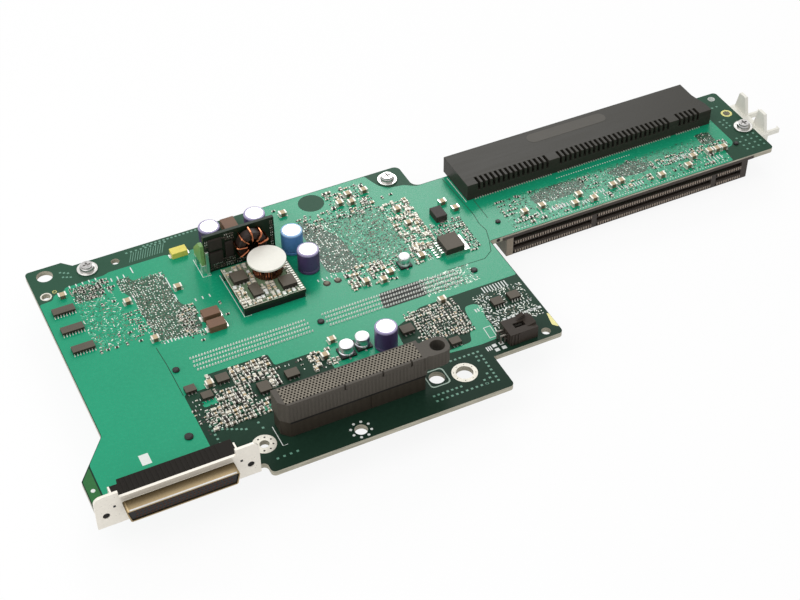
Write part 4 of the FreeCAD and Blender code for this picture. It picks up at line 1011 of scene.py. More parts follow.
def memory_pins():
    pins, pegs = Shape(), Shape()
    aside, ahead, radius = PIN_SHADOW
    for row, y in enumerate(PIN_ROWS):
        for start, end in PIN_SPANS:
            for k in range(int((end - start) / PITCH)):
                x = start + (k + 0.5 * (row % 2)) * PITCH
                pins.turned(x, y, PIN_PROFILE, 8)
                if x > PIN_SHADOW_X:
                    layer("shadow").disc(x + aside, y + ahead, radius, POUR, PAD, 7)
    for x, y, r in PEGS:
        pegs.turned(x, y, ((r, 0.0), (r, 0.6), (r * 0.7, 1.0)), 20)
    piece("memory_pins", pins, "pin", smooth=True)
    piece("peg_tips", pegs, "black", smooth=True)


# Pads, rings and vias about the holes and edges

# Rows of vias, as (start x, start y, end x, end y, count)
VIA_ROWS = (
    (44.3, -6.7, 62.0, -6.9, 9), (52.6, -5.6, 77.1, -5.4, 14), (14.3, -6.2, 17.3, -8.0, 3),
    (14.6, -9.6, 17.6, -11.0, 3), (141.4, -129.6, 153.8, -129.7, 7), (152.0, -132.0, 151.8, -134.4, 2),
    (154.1, -132.4, 153.8, -147.7, 8), (151.4, -142.4, 151.2, -147.5, 3), (148.7, -145.2, 148.9, -147.5, 2),
    (126.4, -144.3, 138.6, -144.3, 7), (126.4, -147.3, 148.6, -147.3, 11), (57.6, -147.2, 66.0, -147.0, 4),
    (40.2, -120.0, 40.6, -130.0, 5), (44.0, -123.4, 52.4, -127.6, 6), (58.0, -126.4, 58.6, -129.8, 2),
    (331.6, -56.8, 341.0, -56.8, 4), (331.6, -59.8, 341.0, -59.8, 4), (331.6, -62.8, 341.0, -62.8, 4),
    (331.6, -65.8, 341.0, -65.8, 4), (331.8, -42.4, 332.0, -47.6, 3), (334.4, -42.0, 334.4, -47.0, 3),
    (334.8, -31.4, 337.4, -31.4, 2),
)
RING_VIAS = (
    (55.8, -138.0, 3.5, 0.42, "shadow"),
    (92.7, -147.7, 4.1, 0.6, "silk"),
    (143.5, -137.9, 4.5, 0.22, "shadow"),
)
VIAS_PER_RING = 8
VIA_PAD, SQUARE_PAD, SILK_TICK = (1.0, 0.95), (1.9, 1.7), (0.6, 2.0)
SILK_LINE_WIDTH = 0.3
PLATED_RINGS = ((55.8, -138.0, 2.0, 4.9), (143.5, -137.9, 3.6, 5.4), (4.3, -18.5, 1.9, 2.5))
COPPER_RINGS = ((338.6, -38.0, 1.75, 2.7), (8.5, -17.0, 0.6, 1.0))
PLATED_BARREL = (338.6, -25.0, 1.64, 1.75)
SQUARE_PADS = ((161.7, -129.5), (164.9, -129.5), (161.7, -132.2), (164.9, -132.2))
SILK_SPOT = (-11.4, -131.3, 0.9)
SILK_BLOCK = (9.6, 13.5, -127.8, -122.2)
SILK_TICKS = ((164.6, -107.6), (165.8, -107.6))
SILK_LINES = (
    ((69.1, -24.0), (69.0, -36.7), (72.8, -36.8)), ((75.8, -38.6), (75.8, -67.9), (79.0, -67.9)),
    ((194.6, -22.4), (194.6, -41.8)), ((62.0, -131.0), (62.0, -142.0), (64.0, -142.0)),
)
SILK_FRAME = (
    ((162.4, -118.2), (165.8, -118.2), (165.4, -125.0), (162.0, -125.0)),
    ((162.7, -118.5), (165.5, -118.5), (165.1, -124.7), (162.3, -124.7)),
)


def rings_and_vias():
    for x0, y0, x1, y1, count in VIA_ROWS:
        for k in range(count):
            t = k / (count - 1)
            bar(x0 + (x1 - x0) * t, y0 + (y1 - y0) * t, *VIA_PAD, "pale_mask")
    for x, y in SQUARE_PADS:
        bar(x, y, *SQUARE_PAD)
    for x, y, radius, size, name in RING_VIAS:
        for turn in around(VIAS_PER_RING, 0.5):
            layer(name).disc(*polar(x, y, radius, turn), size, 0, PAD * 1.2, 10)
    plated, copper = Shape(), Shape()
    for ring in PLATED_RINGS:
        plated.ring(*ring, 0.0, PAD, 40)
    for ring in COPPER_RINGS:
        copper.ring(*ring, 0.0, PAD, 32)
    piece("plated_rings", plated, "ring")
    piece("copper_rings", copper, "brass")


def silk():
    ink = layer("silk")
    ink.disc(*SILK_SPOT, 0.0, PAD, 16)
    ink.ring(*PLATED_BARREL, UNDERSIDE, PAD, 32)
    for path in SILK_LINES:
        ink.strip(path, SILK_LINE_WIDTH, SUNK, PAD)
    ink.block(*SILK_BLOCK, SUNK, PAD)
    ink.plate(SILK_FRAME, SUNK, PAD)
    for x, y in SILK_TICKS:
        bar(x, y, *SILK_TICK)


# Underside: solder joints of the parts above, chips about the ball grids

BALL_CHIPS = ((140.6, -45.0, 37.5), (40.6, -50.6, 31.0))
BALL_INSET = 0.6
BALL_PROFILE = ((0.2, -0.5), (0.38, -0.3), (0.38, -0.2), (0.2, 0.0))
JOINT_PROFILE = ((0.12, -1.1), (0.28, -0.9), (0.36, -0.4), (0.75, -0.05), (0.75, 0.0))
JOINT_ROWS = (
    (66.0, 124.0, 2.0, (-131.0, -133.4, -135.8, -138.2)), (-6.0, 33.0, PITCH, (-139.0, -141.6)),
    (78.0, 105.0, 2.54, (-41.6, -66.2)), (172.6, 182.0, 2.54, (-121.0, -124.0)),
    (72.0, 102.0, 5.0, (-29.6,)),
)
CAN_LEAD = 1.75
UNDER_HALF, UNDER_BODY, UNDER_SIDE, UNDER_DROP = 0.95, 0.55, 0.6, 0.85
UNDER_PITCH = 2.6
UNDER_AWAY = 2.2


def under_part(x, y, turn, body):
    at = (x, y, UNDERSIDE, turn)
    side, drop = UNDER_SIDE, UNDER_DROP
    layer(body).stamp(Shape().block(-UNDER_BODY, UNDER_BODY, -side, side, -drop, 0.0, 0.05), *at)
    side, drop = side * 1.05, drop * 1.03
    for sign in SIDES:
        cap = Shape().block(sign * UNDER_BODY, sign * UNDER_HALF, -side, side, -drop, 0.0, 0.05)
        layer("tin").stamp(cap, *at)


def underside():
    joints, balls = Shape(), Shape()
    places = []
    for *row, ys in JOINT_ROWS:
        places += [(x, y) for x in spaced(*row) for y in ys]
    places += [(x + side * CAN_LEAD, y) for x, y in CANS for side in SIDES]
    for x, y in places:
        joints.turned(x, y, [(r, UNDERSIDE + z) for r, z in JOINT_PROFILE], 10)
    piece("solder_joints", joints, "solder", smooth=True)
    rng = random.Random(61)
    for cx, cy, width in BALL_CHIPS:
        reach = width / 2 - BALL_INSET
        count = int(2 * reach / PITCH)
        for k in range(count + 1):
            along = -reach + k * 2 * reach / count
            for x, y in ((along, -reach), (along, reach), (-reach, along), (reach, along)):
                balls.turned(cx + x, cy + y, [(r, UNDERSIDE + z) for r, z in BALL_PROFILE], 8)
        away = width / 2 + UNDER_AWAY
        for k in range(int(width / UNDER_PITCH)):
            along = -width / 2 + (k + 0.5) * UNDER_PITCH
            for x, y, turn in ((along, away, QUARTER), (away, along, 0.0), (-away, along, 0.0)):
                if rng.random() < 0.7:
                    under_part(cx + x, cy + y, turn, rng.choice(("beige", "beige", "resin")))
    piece("chip_balls", balls, "solder", smooth=True)


# Screws with washers

SCREW_R = 1.45
HEAD_PROFILE = ((3.3, 0.9), (3.3, 1.5), (3.05, 2.1), (2.6, 2.35))
DRIVE_ARM, DRIVE_WIDTH = 1.7, 0.42
WASHER_BORE, WASHER_R, WASHER_TOP = 1.6, 4.6, 0.9


def screws():
    low, high = span("screws")
    rim_r, rim_z = HEAD_PROFILE[-1]
    heads, washers = Shape(), Shape()
    for x, y in SCREWS:
        heads.turned(x, y, ((SCREW_R, low.z), (SCREW_R, WASHER_TOP)) + HEAD_PROFILE, 32)
        heads.plate([circle(x, y, rim_r, 32), cross(x, y, DRIVE_ARM, DRIVE_WIDTH)], rim_z, high.z)
        washers.ring(x, y, WASHER_BORE, WASHER_R, 0.0, WASHER_TOP, 40)
    piece("screw_heads", heads, "screw", node="screws", smooth=True)
    piece("washers", washers, "washer", smooth=True, bevel=0.2)


# Electrolytic cans

CAN_R = 4.85
CAN_TOP = 11.0
CAN_LID_R = CAN_R * 0.8
CAN_WALL = (
    (CAN_R * 0.86, 0.0), (CAN_R, 0.3), (CAN_R, 1.3), (CAN_R * 0.93, 1.75), (CAN_R, 2.2),
    (CAN_R, CAN_TOP - 0.7),
)
CAN_RIM = (
    (CAN_R, CAN_TOP - 0.72), (CAN_R, CAN_TOP - 0.5), (CAN_R * 0.96, CAN_TOP - 0.1),
    (CAN_LID_R, CAN_TOP - 0.05),
)
CAN_LID = (
    (CAN_LID_R, CAN_TOP - 0.2), (CAN_LID_R, CAN_TOP - 0.02), (CAN_LID_R * 0.94, CAN_TOP),
    (CAN_R * 0.2, CAN_TOP),
)
VENT_ARM = CAN_R * 0.62
SMALL_CAN_FOOT, SMALL_CAN_TOP = 0.9, 5.4


def cans():
    purple, blue, purple_rims, blue_rims, lids, vents = [Shape() for part in range(6)]
    vent = Shape().plate([cross(0, 0, VENT_ARM, 0.16)], 0.0, 0.03)
    for k, (x, y) in enumerate(CANS):
        wall, rim = (blue, blue_rims) if k == BLUE_CAN else (purple, purple_rims)
        wall.turned(x, y, CAN_WALL, 40)
        # The curled rim is drawn in a paler colour than its sleeve: a painted highlight.
        rim.turned(x, y, CAN_RIM, 40)
        lids.turned(x, y, CAN_LID, 40)
        vents.stamp(vent, x, y, CAN_TOP, 0.5)
    piece("can_sleeves", purple, "purple", node="can_capacitors", smooth=True)
    piece("blue_sleeve", blue, "blue", node="can_capacitors", smooth=True)
    piece("can_rim_highlights", purple_rims, "purple_rim_highlight", smooth=True)
    piece("blue_rim_highlight", blue_rims, "blue_rim_highlight", smooth=True)
    piece("can_tops", lids, "can_top", node="can_capacitors", smooth=True)
    piece("can_vents", vents, "lid")


def small_cans():
    shells = Shape()
    foot, top = SMALL_CAN_FOOT, SMALL_CAN_TOP
    for x, y, r in SMALL_CANS:
        wall = ((r, foot), (r, foot + 0.7), (r * 0.92, foot + 1.0), (r * 0.92, foot + 1.2), (r, foot + 1.5),
                (r, top - 0.7), (r * 0.94, top - 0.2), (r * 0.82, top), (r * 0.1, top))
        shells.turned(x, y, wall, 36)
    piece("small_can_shells", shells, "can_top", node="small_cans", smooth=True)


# Grid connector: perforated cap over a base in two lengths

CAP_LEFT, CAP_RIGHT, CAP_FRONT, CAP_BACK = 63.0, 125.6, -139.8, -129.2
CAP_CORNER = 3.2
CAP_CELL = 0.74
CAP_COLUMNS = 79
CAP_ROWS = 8
CAP_ROW_WALL = 0.38
CAP_ROW_HOLE = 0.78
CAP_HOLE_DEPTH = 2.6
CAP_RIB_PITCH = 1.52
CAP_RIBS = 38
CAP_RIB_START = 67.2
CAP_FIELD_AT = (65.4, -138.7)
CAP_NOTCHES = (90.1, 106.4, 118.9)
NOTCH_HALF, NOTCH_DEPTH, NOTCH_DROP = 0.4, 0.9, 2.4
GUIDE_AT = (132.1, -135.5)
GUIDE_BORE = 3.1
GUIDE_LIFT = 2.4
GUIDE_LEFT, GUIDE_RIGHT, GUIDE_FRONT, GUIDE_BACK = 124.6, 136.8, -140.2, -130.8
GUIDE_CORNER = 4.5
BASE_SEAM_X = 101.0
BASE_SEAM = 0.2
BASE_CORNER = 3.2
BASE_STEP = 0.25


def cap_outline(notches=(), lobe=True):
    outline = [(CAP_LEFT + CAP_CORNER, CAP_FRONT)]
    for x in notches:
        left, right, inner = x - NOTCH_HALF, x + NOTCH_HALF, CAP_FRONT + NOTCH_DEPTH
        outline += [(left, CAP_FRONT), (left, inner), (right, inner), (right, CAP_FRONT)]
    if lobe:
        guide = rounded(rectangle(GUIDE_LEFT, GUIDE_RIGHT, GUIDE_FRONT, GUIDE_BACK), GUIDE_CORNER, 8)
        outline += [(GUIDE_LEFT, CAP_FRONT), (GUIDE_LEFT, GUIDE_FRONT)]
        outline += [p for p in guide if p[0] > CAP_RIGHT + 0.4] + [(CAP_RIGHT, GUIDE_BACK)]
    else:
        outline.append((CAP_RIGHT, CAP_FRONT))
    return outline + [(CAP_RIGHT, CAP_BACK), (CAP_LEFT, CAP_BACK), (CAP_LEFT, CAP_FRONT + CAP_CORNER)]


def grid_connector():
    low, high = span("grid_connector_cap")
    left, front = CAP_FIELD_AT
    xs = [left + k * CAP_CELL for k in range(CAP_COLUMNS + 1)]
    ys = [front]
    for row in range(CAP_ROWS):
        ys += [ys[-1] + CAP_ROW_HOLE, ys[-1] + CAP_ROW_HOLE + CAP_ROW_WALL]
    ys = ys[:-1]
    window = rectangle(xs[0], xs[-1], ys[0], ys[-1])
    bore = circle(*GUIDE_AT, GUIDE_BORE, 40)
    lift, notch_z = low.z + GUIDE_LIFT, high.z - NOTCH_DROP
    cap, ribs, field = Shape(), Shape(), Shape()
    cap.plate([cap_outline(lobe=False), window], low.z, lift)
    cap.plate([cap_outline(), window, bore], lift, notch_z)
    cap.plate([cap_outline(CAP_NOTCHES), window, bore], notch_z, high.z)
    piece("grid_cap", cap, "grey", node="grid_connector_cap", bevel=0.12)
    for k in range(CAP_RIBS):
        x = CAP_RIB_START + k * CAP_RIB_PITCH
        if min(abs(x - notch) for notch in CAP_NOTCHES) > 0.9:
            ribs.block(x - 0.45, x + 0.45, CAP_FRONT - 0.1, CAP_FRONT + 0.1, low.z + 0.5, high.z - 1.5, 0.08)
    piece("grid_cap_ribs", ribs, "grey")

    def top(i, j):
        open_cell = j % 2 == 0 and (i + j // 2) % 2 == 0
        return high.z - CAP_HOLE_DEPTH if open_cell else high.z

    field.terrain(xs, ys, top, low.z)
    piece("grid_cap_field", field, "grey_top", node="grid_connector_cap")


def grid_base():
    """Base in two lengths, with a painted shadow strip along its front below the cap."""
    low, high = span("grid_connector_base")
    corner = [(low.x, low.y + BASE_CORNER), (low.x + BASE_CORNER, low.y)]
    halves = (corner + rectangle(low.x, BASE_SEAM_X, low.y, high.y)[1:],
              rectangle(BASE_SEAM_X + BASE_SEAM, high.x, low.y, high.y))
    base, seam_shadow = Shape(), Shape()
    for half in halves:
        base.plate([half], low.z, high.z - BASE_STEP)
    piece("grid_base", base, "dark_grey", node="grid_connector_base", bevel=0.15)
    left, right, front = low.x + BASE_CORNER, high.x + 0.02, low.y - 0.03
    # Painted shadow: a dark strip along the base's front, standing in for the shadow under the cap.
    seam_shadow.block(left, right, front, low.y + 1.0, high.z - 1.3, high.z - 0.05)
    piece("grid_seam_shadow", seam_shadow, "shadow")


# Card slots: single contacts, ribs between them, solder tails

CONTACT_GROUPS = (32, 49, 11)
KEY_WIDTH = 2.7
SLOT_LENGTH = 129.2
CARD_GAP = 1.9
CONTACT_HALF = 0.3
CONTACT_BOW = ((0.0, 0.0), (0.3, 0.42), (0.5, 0.5), (0.7, 0.42), (1.0, 0.0))
LOWER_EAR = 2.5
LOWER_ROWS_Z = (-11.475, -6.325)
LOWER_RIB_X, LOWER_RIB_Y, LOWER_RIB_HALF = (0.36, 0.91), (0.05, 2.0), 0.75
LOWER_PIN, LOWER_PIN_BACK, LOWER_PIN_HALF = (0.4, 0.5), 1.7, 0.7
TAIL, TAIL_TOP = (0.5, 0.7), 0.35
LOWER_END_DEPTH = 16.0
END_SKIN = 0.1
OVAL_ENDS = ((239.6, 90), (275.0, 270))
OVAL_Y = -23.0
OVAL_R = 3.3
OVAL_LIFT = 0.06
ARM_FRONT_Y = -70.5
ARM_SHADE_TOP = -0.9
EDGE_SPOT_X = 195.6
EDGE_SPOT_R = 0.95


def contact_places(housing, ear=0.0):
    """Middles of the contacts along a housing, in groups between its keys."""
    used = sum(CONTACT_GROUPS) * PITCH + KEY_WIDTH * (len(CONTACT_GROUPS) - 1)
    x = span(housing)[0].x + ear + (SLOT_LENGTH - used) / 2
    places = []
    for count in CONTACT_GROUPS:
        places += [x + (k + 0.5) * PITCH for k in range(count)]
        x += count * PITCH + KEY_WIDTH
    return places


UPPER_PLACES = contact_places("upper_slot_housing")
LOWER_PLACES = contact_places("lower_slot_housing", LOWER_EAR)


def slot_contacts(name, places, node):
    """Sprung contacts, one pair at each place, bowed towards the card."""
    low, high = span(node)
    middle = (low.z + high.z) / 2
    bow = [(low.y * (1 - t) + high.y * t, CARD_GAP / 2 - depth) for t, depth in CONTACT_BOW]
    shape = Shape()
    for x in places:
        for side in SIDES:
            shape.profile_x([(y, middle + side * z) for y, z in bow], x - CONTACT_HALF, x + CONTACT_HALF)
    piece(name, shape, "gold", node=node)


def upper_slot():
    """Solder tails along the housing's front, plain oval on its top."""
    low, high = span("upper_slot_housing")
    tails = Shape()
    for x in UPPER_PLACES:
        tails.centred(x, low.y - TAIL[1] / 2, *TAIL, SUNK, TAIL_TOP)
    piece("upper_slot_tails", tails, "solder")
    oval = []
    for x, start in OVAL_ENDS:
        oval += [polar(x, OVAL_Y, OVAL_R, math.radians(start + k * 15)) for k in range(13)]
    piece("upper_slot_pad", Shape().plate([oval], high.z, high.z + OVAL_LIFT), "slot_mark", bevel=0.03)


def lower_slot():
    """Ribs and pins along the housing, painted light on its left end, and on the arm's edge above it a band
    of painted shade and a dark spot.
    """
    low, high = span("lower_slot_housing")
    left = low.x + LOWER_EAR
    ribs, pins, edge_shade, end = Shape(), Shape(), Shape(), Shape()
    depth = [low.y + y for y in LOWER_RIB_Y]
    for x in LOWER_PLACES:
        width = [x + aside for aside in LOWER_RIB_X]
        for z in LOWER_ROWS_Z:
            ribs.block(*width, *depth, z - LOWER_RIB_HALF, z + LOWER_RIB_HALF)
            pins.centred(x, low.y + LOWER_PIN_BACK, *LOWER_PIN, z - LOWER_PIN_HALF, z + LOWER_PIN_HALF)
    piece("lower_slot_ribs", ribs, "rib_brown")
    piece("lower_slot_pins", pins, "gold")
    # Painted shade: a dark band over the lower part of the arm's front edge.
    edge_shade.block(low.x, high.x, ARM_FRONT_Y - 0.12, ARM_FRONT_Y + 0.01, UNDERSIDE, ARM_SHADE_TOP)
    piece("arm_edge_shade", edge_shade, "brown")
    # Painted light: a thin paler skin over the housing's left end.
    end.block(left - END_SKIN, left, low.y - END_SKIN, low.y + LOWER_END_DEPTH, low.z, UNDERSIDE)
    end.block(left, LOWER_PLACES[0] - 0.9, low.y - END_SKIN, low.y, low.z, UNDERSIDE)
    piece("lower_slot_end", end, "slot_end_lit")
    disc = Shape().disc(0, 0, EDGE_SPOT_R, 0.0, 0.04, 20)
    piece("arm_edge_spot", Shape().stand(disc, EDGE_SPOT_X, ARM_FRONT_Y, UNDERSIDE / 2), "shadow")


# Regulator modules

FLAT_CHIPS = ((77.5, 84.1, -52.8, -46.4), (82.1, 86.5, -63.8, -56.4), (95.3, 101.7, -64.4, -57.8))
COIL_AREA = (87.6, 100.4, -56.0, -43.2)
UPRIGHT_AREAS = (
    (73.2, 79.2, 5.0, 11.0), (73.2, 79.2, 12.5, 18.0), (80.6, 84.2, 6.5, 14.5), (85.4, 100.6, 4.4, 20.0),
)
MODULE_ROOM = 0.8
# Grids of small parts, as (pitch, pitch, shake)
FLAT_GRID, UPRIGHT_GRID = (2.2, 1.75, 0.25), (1.5, 1.3, 0.2)
CHIP_LEADS = 4
EDGE_PAD_PITCH = 1.5
LINE_TOP = 0.06


def flat_module_parts(rng):
    low, high = span("flat_module_board")
    area = (low.x + 1.2, high.x - 2.6, low.y + 1.2, high.y - 1.2)
    for x, y in cells(rng, *area, *FLAT_GRID):
        turn, body = rng.choice((0.0, QUARTER)), rng.choice(("beige", "cream", "cream", "silk"))
        size = rng.choice(("small", "middle", "middle"))
        if clear(x, y, FLAT_CHIPS + (COIL_AREA,), MODULE_ROOM) and rng.random() < 0.94:
            small_part(x, y, size, body, turn, high.z)
    for x0, x1, y0, y1 in FLAT_CHIPS:
        for k in range(CHIP_LEADS):
            x = x0 + (k + 0.5) * (x1 - x0) / CHIP_LEADS
            for y in (y0 - 0.5, y1 + 0.5):
                layer("tin").centred(x, y, 0.6, 1.0, high.z, high.z + 0.35)
    line = layer("cream")
    line.block(low.x + 0.1, high.x - 0.1, low.y + 0.05, low.y + 0.4, high.z, high.z + LINE_TOP)
    line.block(low.x + 0.05, low.x + 0.35, low.y + 0.5, high.y - 0.1, high.z, high.z + LINE_TOP)
    for k in range(int((high.y - low.y) / EDGE_PAD_PITCH) - 1):
        y = low.y + 1.4 + k * EDGE_PAD_PITCH
        layer("tin").centred(high.x - 1.2, y, 1.7, 1.0, high.z, high.z + 0.3, 0.08)


def upright_module_parts(rng):
    low, high = span("upright_module_board")
    stood = {"resin": Shape(), "tin": Shape(), "taupe": Shape()}
    middle = Shape().block(-0.3, 0.3, -0.28, 0.28, 0.0, 0.4, 0.04)
    ends = [Shape().block(side * 0.26, side * 0.54, -0.3, 0.3, 0.0, 0.42, 0.04) for side in SIDES]
    area = (low.x + 1.2, high.x - 1.0, 1.4, high.z - 1.0)
    for x, z in cells(rng, *area, *UPRIGHT_GRID):
        body, tip = rng.choice(("resin", "resin", "resin", "taupe")), rng.choice(("taupe", "taupe", "tin"))
        if clear(x, z, UPRIGHT_AREAS, MODULE_ROOM):
            stood[body].stand(middle, x, low.y, z)
            for end in ends:
                stood[tip].stand(end, x, low.y, z)
    for name, shape in stood.items():
        piece("upright_" + name, shape, LAYER_FINISH[name])


def module_parts():
    """Small parts crowded over both modules."""
    rng = random.Random(51)
    flat_module_parts(rng)
    upright_module_parts(rng)


BRACKET_FOOT = 4.6
BRACKET_SLOPE = 3.2
BRACKET_SHOULDER = 8.0
BRACKET_LEG = 2.6
POST_TOP = 12.6


def module_bracket():
    """Pale end plate on tinned legs, with a post beside it."""
    low, high = span("upright_module_bracket")
    plate, legs, post = Shape(), Shape(), Shape()
    outline = [(low.y, BRACKET_FOOT), (high.y, BRACKET_FOOT), (high.y, BRACKET_SHOULDER),
               (low.y + BRACKET_SLOPE, high.z), (low.y, high.z)]
    plate.profile_x(outline, low.x, high.x)
    legs.block(low.x, high.x, low.y, low.y + BRACKET_LEG, 0.0, BRACKET_FOOT, 0.1)
    legs.block(low.x, high.x, high.y - BRACKET_LEG, high.y, 0.0, BRACKET_FOOT, 0.1)
    post.block(high.x + 0.02, high.x + 1.3, low.y - 1.4, low.y - 0.1, 0.0, POST_TOP, 0.15)
    piece("bracket_plate", plate, "bracket", node="upright_module_bracket", bevel=0.2)
    piece("bracket_legs", legs, "tin", node="upright_module_bracket")
    piece("bracket_post", post, "tin")


TOROID_BORE = 3.2
TOROID_TURNS = 9
TOROID_STEPS = 32
TOROID_WIRE = 0.5


def toroid():
    low, high = span("toroid_core")
    x, z = (low.x + high.x) / 2, (low.z + high.z) / 2
    inner, outer, depth, wire = TOROID_BORE, (high.x - low.x) / 2, high.y - low.y, TOROID_WIRE
    profile = ((inner, 0.5), (inner + 0.5, 0.0), (outer - 0.6, 0.0), (outer, 0.6), (outer, depth - 0.6),
               (outer - 0.6, depth), (inner + 0.5, depth), (inner, depth - 0.5))
    loop = rounded(rectangle(inner - wire, outer + wire, -wire, depth + wire), 1.0, 4)

    def section(outline, turn):
        """Outline of (radius, depth) stood at a turn about the axis."""
        return [(x + r * math.cos(turn), low.y + a, z + r * math.sin(turn)) for r, a in outline]

    core, turns = Shape(), Shape()
    core.loft([section(profile, turn) for turn in around(TOROID_STEPS)], closed=True)
    for turn in around(TOROID_TURNS, 0.3):
        turns.tube(section(loop, turn), wire, 8)
    piece("toroid_ring", core, "ferrite", node="toroid_core", smooth=True)
    piece("toroid_turns", turns, "enamel", node="toroid_winding", smooth=True)


COIL_TURNS = 9
COIL_BARS = 34


def coil():
    low, high = span("coil_winding")
    x, y = (low.x + high.x) / 2, (low.y + high.y) / 2
    r = (high.x - low.x) / 2
    step = (high.z - low.z) / COIL_TURNS
    profile = [(r * 0.96, low.z)]
    for k in range(COIL_TURNS):
        z = low.z + k * step
        profile += [(r * 0.95, z + 0.05), (r, z + step * 0.3)]
        profile += [(r, z + step * 0.7), (r * 0.95, z + step * 0.98)]
    piece("coil_turns", Shape().turned(x, y, profile, 48), "dark_wire", node="coil_winding", smooth=True)
    bars = Shape()
    upright = Shape().block(-0.12, 0.12, -0.26, 0.26, 0.1, high.z - low.z - 0.1)
    for turn in around(COIL_BARS):
        bars.stamp(upright, *polar(x, y, r, turn), low.z, turn)
    piece("coil_bars", bars, "enamel")


# Details of the shell connector and the header

SHELL_X = 17.6
SHELL_LIP = (-3.6, 38.8)
SHELL_TOP = 8.0
INSERT_ROWS_Z = (3.6, 5.0, 6.4)
INSERT_COLUMNS = 26
INSERT_PITCH = 1.5
JACK_REACH, JACK_Z, JACK_BORE = 28.8, 3.4, 1.36
JACK_Y = (-147.9, -147.1)
DIMPLES = ((-7.6, -148.2), (42.8, -148.2))
RIDGE_PITCH = 2.0


def shell_connector():
    low, high = span("connector_shell")
    # The bead along the shell's front edge is drawn in paler metal than the shaded shell behind it: a painted
    # highlight on that edge.
    lip = Shape().block(*SHELL_LIP, low.y + 0.02, low.y + 0.75, SHELL_TOP, SHELL_TOP + 0.26, 0.04)
    piece("shell_lip", lip, "steel", bevel=0.15)
    contacts, jacks, dimples, ridges = Shape(), Shape(), Shape(), Shape()
    face = span("connector_insert")[0].y
    for row, z in enumerate(INSERT_ROWS_Z):
        for k in range(INSERT_COLUMNS):
            x = SHELL_X + (k - (INSERT_COLUMNS - 1) / 2) * INSERT_PITCH + 0.4 * (row % 2)
            contacts.centred(x, face - 0.02, 0.7, 0.1, z - 0.35, z + 0.35)
    piece("insert_contacts", contacts, "dark_wire", slot="gold")
    for side in SIDES:
        jacks.profile_y(circle(SHELL_X + side * JACK_REACH, JACK_Z, JACK_BORE, 24), *JACK_Y)
    piece("jack_bores", jacks, "shadow")
    for x, y in DIMPLES:
        dimples.centred(x, y, 1.0, 0.1, 6.6, 7.6)
    piece("flange_dimples", dimples, "black")
    low, high = span("connector_body")
    for k in range(int((high.x - low.x - 8.0) / RIDGE_PITCH)):
        x = low.x + 4.4 + k * RIDGE_PITCH
        ridges.block(x, x + RIDGE_PITCH * 0.6, low.y + 0.2, high.y - 0.3, high.z - 0.1, high.z + 0.16, 0.05)
    piece("body_ridges", ridges, "ridged_black")


HEADER_RIBS = 3
HEADER_RAMP = ((174.4, 0.0), (177.4, 1.1), (178.0, 0.0))


def header_details():
    """Grip ribs on the shroud's left end and front, latch ramp on its top."""
    low, high = span("header_shroud")
    ribs = Shape()
    for k in range(HEADER_RIBS):
        x, y = low.x + 0.6 + k * 1.5, low.y + 1.2 + k * 2.0
        ribs.block(low.x - 0.3, low.x, y, y + 0.9, 0.1, high.z - 1.4, 0.1)
        ribs.block(x, x + 0.8, low.y - 0.3, low.y, 0.1, high.z - 1.2, 0.1)
    ribs.profile_y([(x, high.z + z) for x, z in HEADER_RAMP], high.y - 2.6, high.y - 0.5)
    piece("header_ribs", ribs, "header", bevel=0.08)


# Terminals and leads

LEAD_HALF = 0.22
LEAD_PROFILE = (
    (0.0, 0.95), (0.35, 0.95), (0.62, 0.2), (1.15, 0.2), (1.15, 0.04), (0.5, 0.04), (0.25, 0.75), (0.0, 0.75),
)
TANTALUM_HALF = 3.8
# Blocks on an end face, as (reach, half width, bottom, top)
TANTALUM_ENDS = ((0.4, 1.3, 0.0, 1.9), (1.1, 1.6, 0.0, 0.2))
YELLOW_ENDS = ((0.9, 1.3, 0.0, 0.22), (0.15, 1.1, 0.2, 1.6))
FOOT_TOP = 0.3
LEG_SPREAD, LEG_OUT, LEG = 0.33, 0.45, (0.6, 0.9)
TAB_SHARE, TAB_OUT, TAB_DEPTH = 0.62, 0.4, 0.8
CERAMIC_CAP = (1.45, 0.62, 2.66, 1.93)
DIODE_FOOT_HALF, DIODE_FOOT_REACH = 1.4, 1.1
SMALL_CAN_TAB, SMALL_CAN_TAB_OUT, SMALL_CAN_TAB_TOP = (1.0, 1.1), 0.5, 0.25


def outline_leads():
    leads = Shape()
    for x, y, along_x, along_y in OUTLINE_PACKAGES:
        count = int((along_x - 0.6) / PITCH) + 1
        first = x - (count - 1) * PITCH / 2
        for side in SIDES:
            profile = [(y + side * along_y / 2 + side * a, z) for a, z in LEAD_PROFILE]
            for k in range(count):
                middle = first + k * PITCH
                leads.profile_x(profile, middle - LEAD_HALF, middle + LEAD_HALF)
    piece("outline_single_leads", leads, "tin", node="outline_leads")


